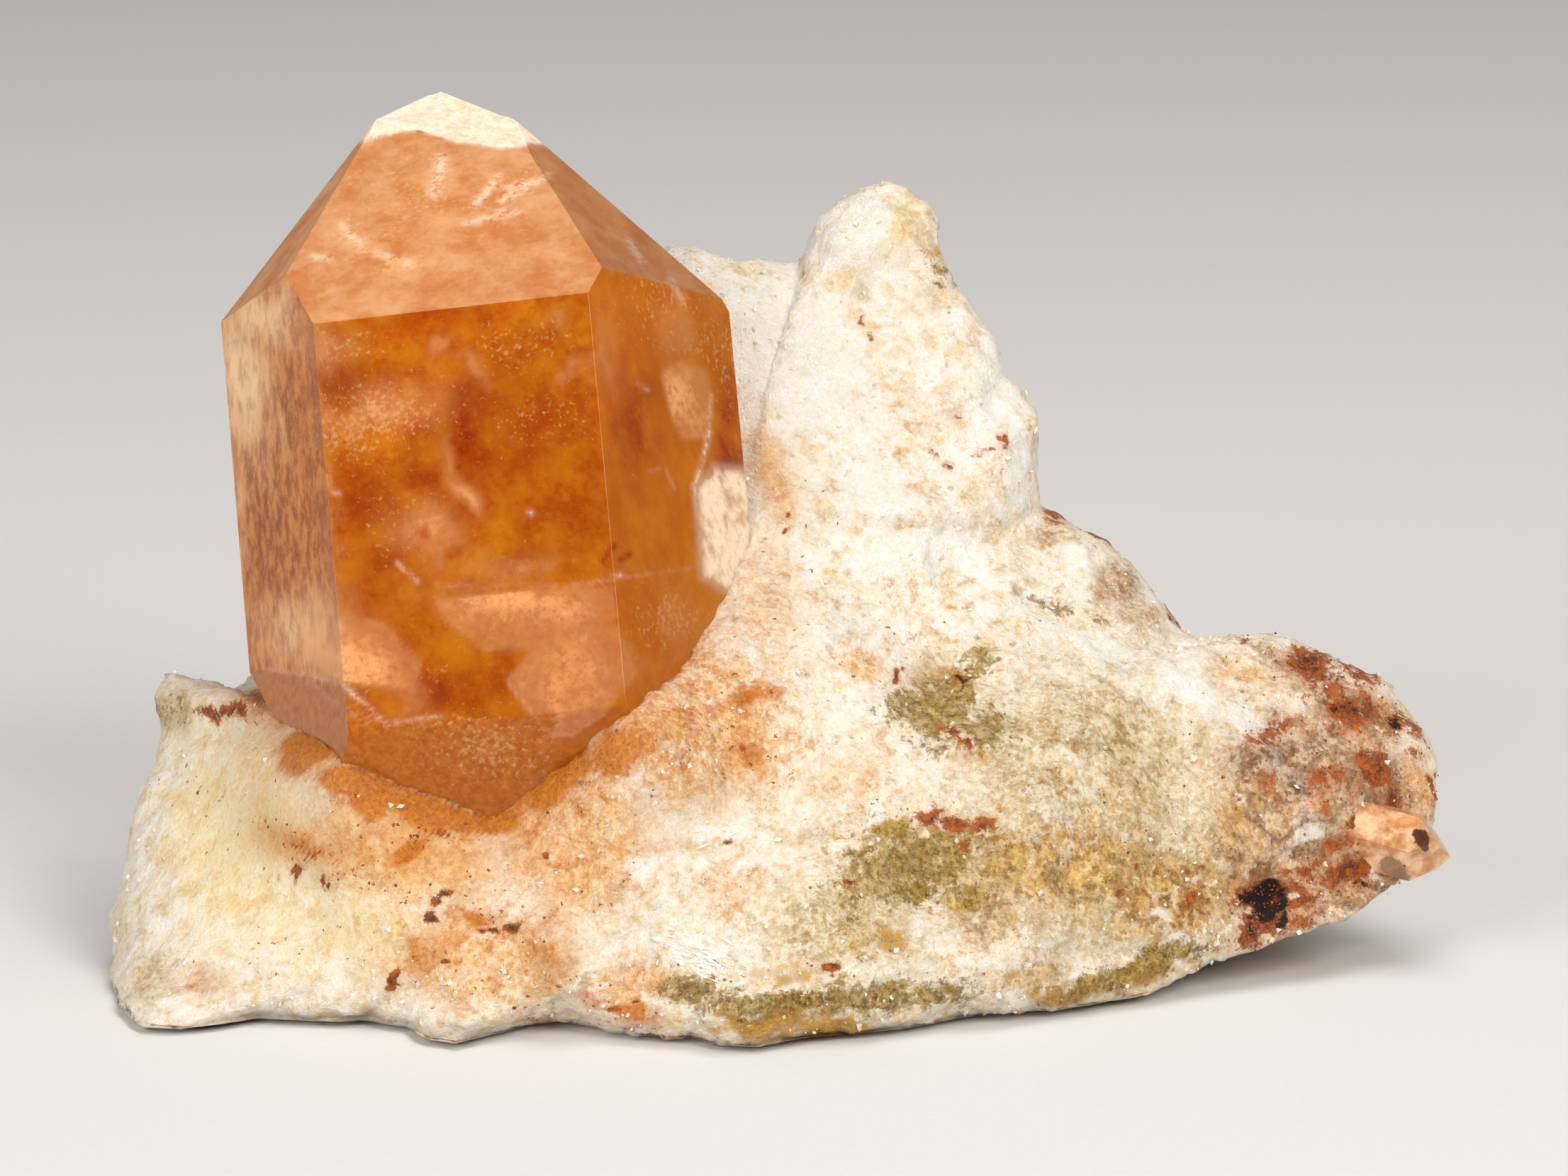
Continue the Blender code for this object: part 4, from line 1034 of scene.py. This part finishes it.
        (10.4, -14.6, 0.7, 0.7, 0, 0.7), (9.2, -8.2, 1.1, 0.4, -30, 0.9),
        (10.3, -8.9, 0.8, 0.4, -30, 0.85), (10, -5.2, 0.4, 0.7, 10, 0.9), (-31.6, -7, 1.8, 0.42, -4, 0.9),
        (-32.6, -6.8, 0.8, 0.5, 0, 0.95), (-30.6, -7.3, 1, 0.36, -10, 0.8), (-27, -16.1, 0.45, 0.4, 0, 1),
        (-25.4, -16.9, 0.6, 0.42, -24, 1), (-24.6, -16, 0.5, 0.34, 0, 0.8),
        (-26.4, -14.9, 1.7, 0.26, -14, 0.75), (-19.6, -18.3, 0.42, 0.45, 0, 1),
        (-19.1, -17.5, 0.7, 0.36, 40, 0.95), (-15.3, -18.7, 0.9, 0.4, 15, 1),
        (-16.9, -19.3, 0.9, 0.28, 10, 0.9), (-19.6, -13.9, 0.8, 0.4, -30, 0.95),
        (-21.9, -22.4, 0.4, 0.7, -10, 1), (-19.3, -21.1, 0.4, 0.26, 0, 0.95),
        (-13.4, -15.1, 0.3, 0.24, 0, 0.9), (-2.1, -9.9, 0.3, 0.3, 0, 1), (-2.3, -9, 0.4, 0.45, 0, 0.75),
        (-2.9, -14.3, 0.5, 0.26, 10, 0.85), (3.7, -17, 0.5, 0.4, 0, 0.95), (2.8, -21.7, 0.55, 0.45, 0, 1),
        (-8.4, -23.4, 0.36, 0.3, 0, 1), (-9.9, -23.9, 0.9, 0.22, 12, 0.9),
        (19.4, -16.8, 0.8, 0.7, 0, 0.8), (22.5, -17.4, 0.5, 0.55, 0, 0.85),
        (23.6, -16.1, 0.55, 0.36, 0, 0.7), (20, -15.7, 0.45, 0.45, 0, 0.7),
        (6.4, -5.1, 0.3, 0.42, -20, 1), (-0.1, 4.2, 0.5, 0.2, 30, 0.95), (0.1, 3.4, 0.4, 0.18, 20, 0.85),
        (-3.1, -4.8, 0.36, 0.22, 20, 0.9), (-8, -25, 6, 0.3, -8, 0.5), (-29, -24.4, 6, 0.3, 3, 0.4),
        (-14, -24.6, 2.4, 0.3, 0, 0.5),
    ),
    # The pits at the right end: near black, dark iron with painted shade in them.
    "hollow": (
        (26.4, -17.5, 0.8, 0.55, 20, 1), (27.2, -16.9, 0.75, 0.6, 0, 1), (27, -18.1, 0.5, 1, 0, 1),
        (28.2, -17.8, 0.7, 0.75, 0, 1), (28.2, -18.8, 0.6, 0.75, 0, 0.95),
        (34.2, -7.9, 0.5, 0.45, 40, 0.95), (10, -5.3, 0.45, 0.7, 30, 0.65),
        (32, -6.7, 1.4, 0.8, -10, 0.45), (32.6, -16.7, 0.5, 0.4, 0, 0.65),
        (30.9, -4.9, 0.7, 0.8, 0, 0.45), (26.6, -19.4, 0.3, 0.8, 0, 0.6),
        (30.6, -10.2, 0.9, 0.6, 30, 0.35),
    ),
    "peppered": (
        (-27.5, -13.4, 6.5, 1.4, -16, 0.7), (-24, -16.2, 5, 1, -14, 1), (-20, -17.6, 4, 1.2, 4, 1),
        (-19.5, -14.2, 3, 0.9, -10, 0.9), (-21, -21, 5, 1.6, 15, 0.6), (-15, -18.8, 3, 0.9, 10, 1),
        (-28, -20, 4, 1.5, 10, 0.35), (-3, -8, 5, 3.4, 20, 0.35), (0.5, 3, 3, 2, 10, 0.35),
        (-10, -16, 4, 3, 0, 0.3), (20, -15, 5, 2.6, -20, 0.5), (8, -13.4, 4, 1.2, 0, 0.6),
        (-10, -23.2, 4, 0.8, -8, 0.7), (31, -10, 5, 4, -30, 0.5), (5, -4, 5, 3, 0, 0.3),
        (22, -10, 4, 3, 0, 0.25), (-16, -22, 4, 1.6, 0, 0.4), (8, -22.4, 8, 0.8, 4, 0.4),
    ),
    "fibres": (
        (-2.6, -14.4, 4.4, 1.4, 14, 1), (5.4, -11.6, 3.4, 1, 24, 1), (2.8, -7.6, 2, 0.5, 12, 0.8),
        (-10, -21.4, 1.4, 2, 0, 0.6), (-2, -4.4, 3, 1, 20, 0.4), (-4.7, -20.9, 2.4, 1, -28, 0.9),
    ),
}

points, normals = mesh_points(rock), mesh_normals(rock)
seen_at = shifted(points)
front = smooth_step(-normals @ INTO_VIEW, -0.5, -0.1)
# How strong the stains are on the back, where noise places them. The tints not named here lie at 0.2.
own_stains = {
    "beige": 0.55, "peach": 0.5, "cream": 0.4, "mauve": 0.3, "rust": 0.45, "olive": 0.35, "amber": 0.3,
}
for number, (name, rows) in enumerate(ROCK_TINTS.items()):
    behind = own_stains.get(name, 0.2) * smooth_step(noise(points, 6.5, 200 + 10 * number), 0.5, 0.68)
    set_mask(rock, name, patches(seen_at, rows) * front + behind * (1 - front))
outward, distance = plane_table(crystal_planes)
gap = ((points - CRYSTAL_MIDDLE) @ crystal_turn_matrix @ outward.T - distance).max(1)
# Painted light: orange light from the crystal on the rock round its lower end, strongest below it.
painted_glow = np.exp(-(np.maximum(gap, 0) / 1.6)) * (0.55 + 0.6 * noise(points, 2.4, 87))
set_mask(rock, "painted_glow", painted_glow * smooth_step(seen_at[1], 3.0, -8.0) ** 0.5)
smooth = patches(seen_at, SMOOTH_FACES) * front
set_mask(rock, "sugar", 1 - 0.8 * smooth)


def ragged(tree, name, grain, low=0.4, high=0.56, spread=1.1):
    """A painted patch with a ragged edge: its strength and a fine noise are added, then cut off between
    limits."""
    strength = calc(tree, "SUBTRACT", mask(tree, name), spread / 2)
    return rise(tree, calc(tree, "MULTIPLY_ADD", grain, spread, strength), low, high)


def moved(tree, spot, fineness, detail, amount):
    """The places, moved about at random by up to the amount."""
    inputs = {"Vector": spot, "Scale": fineness, "Detail": detail}
    drift = wire(tree, "TexNoise", inputs).outputs["Color"]
    inputs = {0: drift, 1: (amount, amount, amount), 2: spot}
    return wire(tree, "VectorMath", inputs, operation="MULTIPLY_ADD").outputs[0]


def cells(tree, spot, fineness):
    """Grains of uneven size: the distance from each one's middle, and three random numbers of its own."""
    grain = wire(tree, "TexVoronoi", {"Vector": spot, "Scale": fineness})
    return grain.outputs["Distance"], wire(tree, "SeparateColor", {0: grain.outputs["Color"]}).outputs


def rock_finish():
    """Cream quartz rock. Its grains differ in brightness and gloss, with clear ones among milky ones, and
    iron and clay stains lie on it in ragged patches and small specks. Orange light from the crystal is
    painted on it round the bottom of the crystal, and shade over the dark iron in its pits."""
    made, tree, shader = new_finish("stained rock")
    spot = millimetres(tree)
    bent = moved(tree, spot, 0.9, 3.0, 0.9)
    broad = cloud(tree, spot, 0.22, 4.0)
    mottle = cloud(tree, bent, 0.75, 5.0, 0.68)
    fine = cloud(tree, spot, 3.6, 4.6, 0.78)
    wisps = calc(tree, "ABSOLUTE", calc(tree, "SUBTRACT", cloud(tree, bent, 0.5, 4.0, 0.6), 0.5))
    crumbs = cloud(tree, bent, 1.5, 5.0, 0.75)
    _, grain = cells(tree, bent, 1.1)
    small_gap, small = cells(tree, moved(tree, spot, 5.0, 2.0, 0.5), 3.2)
    _, domain = cells(tree, bent, 0.42)
    borders = wire(tree, "TexVoronoi", {"Vector": bent, "Scale": 0.42}, feature="DISTANCE_TO_EDGE")
    along = millimetres(tree, (0, 0, 0), (0, radians(-18), 0), (4.5, 1.0, 0.28))
    fibre = cloud(tree, along, 1.0, 4.0, 0.6)
    sugar = mask(tree, "sugar")
    clear = times(tree, rise(tree, grain[0], 0.68, 0.8), rise(tree, mottle, 0.62, 0.44))
    edges = times(tree, rise(tree, borders.outputs["Distance"], 0.07, 0.0), rise(tree, crumbs, 0.44, 0.58))
    veins = times(tree, rise(tree, wisps, 0.06, 0.0), rise(tree, broad, 0.42, 0.6))
    veins = highest(tree, veins, times(tree, edges, 0.8))
    threads = times(tree, rise(tree, fibre, 0.5, 0.64), mask(tree, "fibres"))

    colour = shades(tree, mottle, 0.34, 0.6, "F3DAB0", "FFF7E8")
    tints = (
        ("cream", broad, (0.2, 0.8), 0.8, (0.3, 0.7, "FBD58C", "FFEEC0")),
        ("beige", mottle, (0.2, 0.8), 0.85, (0.36, 0.64, "AE8A46", "E8D2A0")),
        ("tan", mottle, (0.25, 0.8, 1.8), 0.85, (0.38, 0.62, "8C6014", "D6A452")),
        ("peach", mottle, (0.2, 0.8), 0.88, (0.36, 0.64, "DC8A34", "F6C582")),
        ("mauve", mottle, (0.25, 0.65), 0.92, (0.36, 0.62, "7C4A24", "DAAE7C")),
    )
    for name, pattern, limits, strength, inks in tints:
        coat = (ragged(tree, name, pattern, *limits), strength, shades(tree, mottle, *inks))
        colour = paint(tree, colour, coat)
    milk = blend(tree, fine, ink("FBEFD8"), ink("FFFEFA"))
    greys = blend(tree, domain[0], ink("5C5C5C"), ink("D0D0D0"))
    crumb = shades(tree, small[0], 0.1, 0.9, "6C6C6C", "FFFFFF")
    dust = shades(tree, fine, 0.32, 0.68, "707070", "FFFFFF")
    colour = paint(
        tree,
        colour,
        (times(tree, clear, sugar), 0.34, "C8985C"),
        # painted orange light from the crystal
        (mask(tree, "painted_glow"), 0.85, "E08A2A"),
        (ragged(tree, "white", mottle, 0.35, 0.75), 0.85, milk),
        (threads, 0.75, "FFF4E2"),
        (sugar, 0.3, greys, "SOFT_LIGHT"),
        (times(tree, veins, sugar), 0.35, "FFF8EC"),
        (calc(tree, "MULTIPLY_ADD", sugar, 0.5, 0.08), 1, crumb, "SOFT_LIGHT"),
        (calc(tree, "MULTIPLY_ADD", sugar, 0.45, 0.2), 1, dust, "SOFT_LIGHT"),
    )

    amber = shades(tree, fine, 0.3, 0.66, "B05400", "DE8808")
    yolk = shades(tree, crumbs, 0.36, 0.62, "906004", "DAA21E")
    olive = shades(tree, fine, 0.32, 0.62, "3A2C04", "AC8630")
    olive = paint(tree, olive, (rise(tree, small[1], 0.5, 0.9), 0.5, "DCC07A"))
    rust = shades(tree, crumbs, 0.38, 0.62, "3A0E04", "C4621C")
    rust = paint(tree, rust, (rise(tree, fine, 0.5, 0.36), 0.75, "2A0A04"))
    clay = ragged(tree, "olive", crumbs, 0.36, 0.7, 2.2)
    halo = times(tree, rise(tree, mask(tree, "rust"), 0.08, 0.8), rise(tree, mottle, 0.4, 0.6, 0.2, 0.7))
    rusty = ragged(tree, "rust", crumbs, 0.4, 0.66, 2.0)
    rusty = times(tree, rusty, rise(tree, fine, 0.24, 0.42, 0.4, 1.0))
    reach = calc(tree, "MULTIPLY_ADD", grain[1], 0.3, small_gap)
    chosen = calc(tree, "LESS_THAN", small[2], times(tree, mask(tree, "peppered"), 0.42))
    speck = times(tree, rise(tree, reach, 0.42, 0.34), chosen)
    colour = paint(
        tree,
        colour,
        (ragged(tree, "amber", mottle, 0.12, 0.62, 1.2), 0.94, amber),
        (ragged(tree, "yolk", mottle, 0.26, 0.74, 2.0), 0.88, yolk),
        (clay, 0.88, olive),
        (halo, 1, "CE7426"),
        (rusty, 0.96, rust),
        (speck, 0.9, blend(tree, small[1], ink("4A1404"), ink("A8501A"))),
        # near-black pits: dark iron with painted shade
        (ragged(tree, "hollow", crumbs, 0.36, 0.6, 1.8), 0.97, "120402"),
    )

    gloss = calc(tree, "MULTIPLY_ADD", small[0], -0.34, 0.62)
    stained = times(tree, highest(tree, rusty, speck, clay), 0.85)
    lift = times(tree, small[2], times(tree, sugar, 0.8))
    height = calc(tree, "ADD", calc(tree, "ADD", fine, lift), times(tree, mottle, 1.3))
    looks = {
        "Base Color": colour,
        "Roughness": highest(tree, gloss, stained),
        "Normal": bumped(tree, height, 0.9, 0.0003),
        "Specular IOR Level": 0.4,
    }
    fill(tree, shader, looks)
    return made


rock.data.materials.clear()
rock.data.materials.append(rock_finish())
rock.data.shade_smooth()
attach(rock, "root")
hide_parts("matrix")


# Loose crumbs and slivers on the rock: clear quartz slivers that sparkle, a sheaf of white cleavage blades,
# and grains of rust and of olive clay on their patches. All are small eight-sided grains, half sunk in.
SLIVERS = 2600
BLADES = 150
CRUST_GRAINS = 900
GRAIN_PIECES = ("quartz_slivers", "cleavage_blades", "rust_crumbs", "clay_crumbs")


def spins(count, rng):
    """Random turns, one 3 x 3 matrix each, from random unit quaternions."""
    parts = rng.normal(size=(4, count))
    w, x, y, z = parts / np.linalg.norm(parts, axis=0)
    rows = [
        [1 - 2 * (y * y + z * z), 2 * (x * y - z * w), 2 * (x * z + y * w)],
        [2 * (x * y + z * w), 1 - 2 * (x * x + z * z), 2 * (y * z - x * w)],
        [2 * (x * z - y * w), 2 * (y * z + x * w), 1 - 2 * (x * x + y * y)],
    ]
    return np.moveaxis(np.array(rows), 2, 0)


def gem_grains(name, places, turns, sizes, rng):
    """One mesh of eight-sided grains: each is a skewed double pyramid of its own three sizes."""
    ends = np.concatenate([np.eye(3), -np.eye(3)])
    shape = ends * sizes[:, None, :] * rng.uniform(0.7, 1.1, (len(places), 6, 1))
    shape += rng.normal(size=(len(places), 6, 3)) * sizes.min(1)[:, None, None] * 0.12
    corners = np.einsum("nij,nkj->nki", turns, shape) + places[:, None]
    sides = np.array([(0, 1, 2), (1, 3, 2), (3, 4, 2), (4, 0, 2), (1, 0, 5), (3, 1, 5), (4, 3, 5), (0, 4, 5)])
    faces = sides + 6 * np.arange(len(places))[:, None, None]
    made = new_piece(name, corners.reshape(-1, 3), faces.reshape(-1, 3))
    set_mask(made, "shade", np.repeat(rng.random(len(places)), 6))
    return made


def grain_finish(name, darkest, palest, roughness, clearness):
    """One finish for a mesh of grains, each with its own shade between two colours."""
    made, tree, shader = new_finish(name)
    fleck = cloud(tree, millimetres(tree), 6.0, 2.0)
    shade = calc(tree, "MULTIPLY_ADD", fleck, 0.4, times(tree, mask(tree, "shade"), 0.8))
    looks = {
        "Base Color": blend(tree, shade, ink(darkest), ink(palest)),
        "Roughness": roughness,
        "Transmission Weight": clearness,
        "IOR": QUARTZ_IOR,
    }
    fill(tree, shader, looks)
    return made


def chosen_places(weights, count, rng):
    """Points of the rock, picked with a chance that follows the weights, each moved a little at random."""
    picked = rng.choice(len(points), count, p=weights / weights.sum())
    return picked, points[picked] + rng.normal(size=(count, 3)) * 0.08


rng = np.random.default_rng(12)
clear_of = (gap > 0.35) & (points[:, 2] > 0.7)
fields = {name: patches(seen_at, ROCK_TINTS[name]) * front for name in ("olive", "rust", "hollow")}
rocky = (1 - 0.92 * smooth) * (0.25 + smooth_step(noise(points, 3.0, 401), 0.45, 0.7))
rocky *= 1 - 0.9 * fields["olive"]
rocky *= 1 - 0.9 * fields["rust"]
rocky *= 1 - fields["hollow"]
picked, places = chosen_places(rocky * clear_of, SLIVERS, rng)
sizes = rng.uniform(0.05, 0.2, (SLIVERS, 1)) * rng.uniform(0.5, 1.6, (SLIVERS, 3))
slivers = gem_grains("quartz_slivers", places, spins(SLIVERS, rng), sizes, rng)
slivers.data.materials.append(grain_finish("clear sliver", "EED2A8", "FFFDF6", 0.08, 0.2))

# Blades lie along the cleavage, which runs up to the right, or down to the right by the groove.
flake = patches(seen_at, ((-4.7, -20.9, 2.2, 1.0, -28, 1.0), (-3.6, -13.8, 2.6, 0.5, 14, 0.35))) * front
picked, places = chosen_places(flake**2 * clear_of, BLADES, rng)
right, up, _ = seen(places)
slope = np.radians(np.where(up < -18.5, -28, 16) + rng.normal(size=BLADES) * 7)
along = np.stack([np.cos(slope), np.sin(slope) * sin(EYE_DROP), np.sin(slope) * cos(EYE_DROP)], -1)
outward = normals[picked]
along -= (along * outward).sum(1)[:, None] * outward
along /= np.linalg.norm(along, axis=1)[:, None]
turns = np.stack([along, np.cross(outward, along), outward], -1)
sizes = rng.uniform((0.2, 0.05, 0.03), (0.7, 0.13, 0.08), (BLADES, 3))
blades = gem_grains("cleavage_blades", places, turns, sizes, rng)
blades.data.materials.append(grain_finish("white blade", "F2D9B4", "FFFEFA", 0.16, 0.15))

right, up, _ = seen(points)
crusts = (
    ("rust_crumbs", fields["rust"] * smooth_step(right, 20.0, 27.0), "3A1004", "C06022"),
    ("clay_crumbs", fields["olive"] * smooth_step(up, -2.0, -9.0), "46340C", "CAA654"),
)
for name, field, darkest, palest in crusts:
    picked, places = chosen_places(field**2 * clear_of, CRUST_GRAINS, rng)
    sizes = rng.uniform(0.04, 0.11, (CRUST_GRAINS, 1)) * rng.uniform(0.6, 1.3, (CRUST_GRAINS, 3))
    crust = gem_grains(name, places, spins(CRUST_GRAINS, rng), sizes, rng)
    crust.data.materials.append(grain_finish(name.replace("_", " "), darkest, palest, 0.8, 0.0))
for piece in [bpy.data.objects[name] for name in GRAIN_PIECES]:
    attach(piece, "root")


# The tip crystal: a small peach quartz crystal that grew in the right end of the rock. It is hazy, with a
# brown spot of iron on its upper face, and its lower face is painted grey-brown as shade.
SMALL_MIDDLE = from_eye(34.4, -14.3, -2.6)
SMALL_PRISM = (1.7, 1.6, 1.8, 1.6, 1.7, 1.8)
SMALL_CROWN = (1.9, 2.3, 2.0, 2.3, 1.9, 2.2)
SMALL_FOOT = (3.2,) * 6
SMALL_GRID = 0.12
SMALL_STAINS_AND_SHADE = {
    "iron": ((36.1, -14.1, 0.55, 0.4, 0, 1), (35.2, -15.6, 0.2, 0.2, 0, 0.8)),
    # Painted shade: the grey-brown on the crystal's lower face.
    "ashen": ((34.4, -16, 1.1, 0.9, -30, 1),),
    "orange": ((35.4, -13, 1.4, 0.6, 10, 1), (33.8, -14.2, 0.6, 0.6, 0, 0.7)),
}


def small_relief(points, number):
    """Faint hummocks, under a twentieth of a millimetre."""
    return 0.06 * (noise(points, 0.7, 91) - 0.5)


def small_finish():
    """Hazy peach quartz with its stains and painted shade on its lower face, glossy outside."""
    made, tree, shader = new_finish("peach quartz")
    spot = millimetres(tree)
    fine = cloud(tree, spot, 3.0, 6.0, 0.7)
    milk = cloud(tree, spot, 0.9, 4.0, 0.6)
    colour = paint(
        tree,
        shades(tree, milk, 0.35, 0.65, "E29A5C", "F8CFA4"),
        # painted shade on the lower face
        (ragged(tree, "ashen", fine), 0.8, "94745A"),
        (ragged(tree, "orange", fine), 0.7, "DE8A3C"),
        (ragged(tree, "iron", fine), 0.95, "4A2410"),
    )
    looks = {
        "Base Color": colour,
        "Transmission Weight": rise(tree, milk, 0.3, 0.7, 0.5, 0.2),
        "Normal": bumped(tree, fine, 0.15, 0.0001),
        "Roughness": 0.16,
        "IOR": QUARTZ_IOR,
    }
    fill(tree, shader, looks)
    absorb(tree, (0.97, 0.72, 0.4), 120.0)
    return made


small_turn_matrix = crystal_turn((radians(-12), "Z"), (radians(104), "Y"), (radians(22), "Z"))
small_planes = [
    *ring_planes(SMALL_PRISM, 0),
    *ring_planes(SMALL_CROWN, RHOMB_TILT),
    *ring_planes(SMALL_FOOT, -RHOMB_TILT),
]
points, faces = crystal_skin(small_planes, small_relief, [SMALL_GRID] * 18)
small = new_piece("tip_crystal_body", points @ small_turn_matrix.T + SMALL_MIDDLE, faces)
seen_at = shifted(mesh_points(small))
for name, rows in SMALL_STAINS_AND_SHADE.items():
    set_mask(small, name, patches(seen_at, rows))
small.data.materials.append(small_finish())
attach(small, "root")
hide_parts("tip_crystal")


# The stage: pale paper on a wide flat table, under soft studio light.
PAPER_REACH = 4.0


def paper_sheet():
    """A flat square at height 0: its corners lie the reach away from the middle, both ways."""
    corners = np.array([(-1, -1, 0), (1, -1, 0), (1, 1, 0), (-1, 1, 0)])
    return corners * PAPER_REACH / MM, [[0, 1, 2, 3]]


def paper_finish():
    """Matt white paper with a faint tooth."""
    made, tree, shader = new_finish("pale paper")
    tooth = cloud(tree, millimetres(tree), 2.0)
    colour = blend(tree, tooth, ink("D6D4D2"), ink("DDDBD9"))
    fill(tree, shader, {"Base Color": colour, "Roughness": 0.9})
    return made


floor = new_piece("floor", *paper_sheet())
floor.data.materials.append(paper_finish())


def soft_light(name, spot, size, power, colour):
    """A square lamp of this size in metres, at the spot, facing the middle of the specimen."""
    lamp = bpy.data.objects.new(name, bpy.data.lights.new(name, "AREA"))
    lamp.data.size = size
    lamp.data.energy = power
    lamp.data.color = colour
    lamp.location = spot
    lamp.rotation_euler = (Vector((0, 0, 0.02)) - Vector(spot)).to_track_quat("-Z", "Y").to_euler()
    bpy.context.scene.collection.objects.link(lamp)


soft_light("overhead softbox", (0.08, 0.0, 0.6), 0.4, 1.9, (1.0, 0.985, 0.96))
soft_light("right softbox", (0.3, -0.5, 0.4), 0.3, 3.0, (1.0, 0.97, 0.94))
soft_light("left fill", (-0.45, -0.5, 0.28), 0.4, 2.9, (1.0, 0.99, 0.97))
world = bpy.data.worlds.new("pale room")
world.use_nodes = True
world.node_tree.nodes["Background"].inputs["Color"].default_value = (1.0, 1.0, 1.0, 1)
world.node_tree.nodes["Background"].inputs["Strength"].default_value = 0.22
bpy.context.scene.world = world
bpy.context.scene.view_settings.view_transform = "Standard"
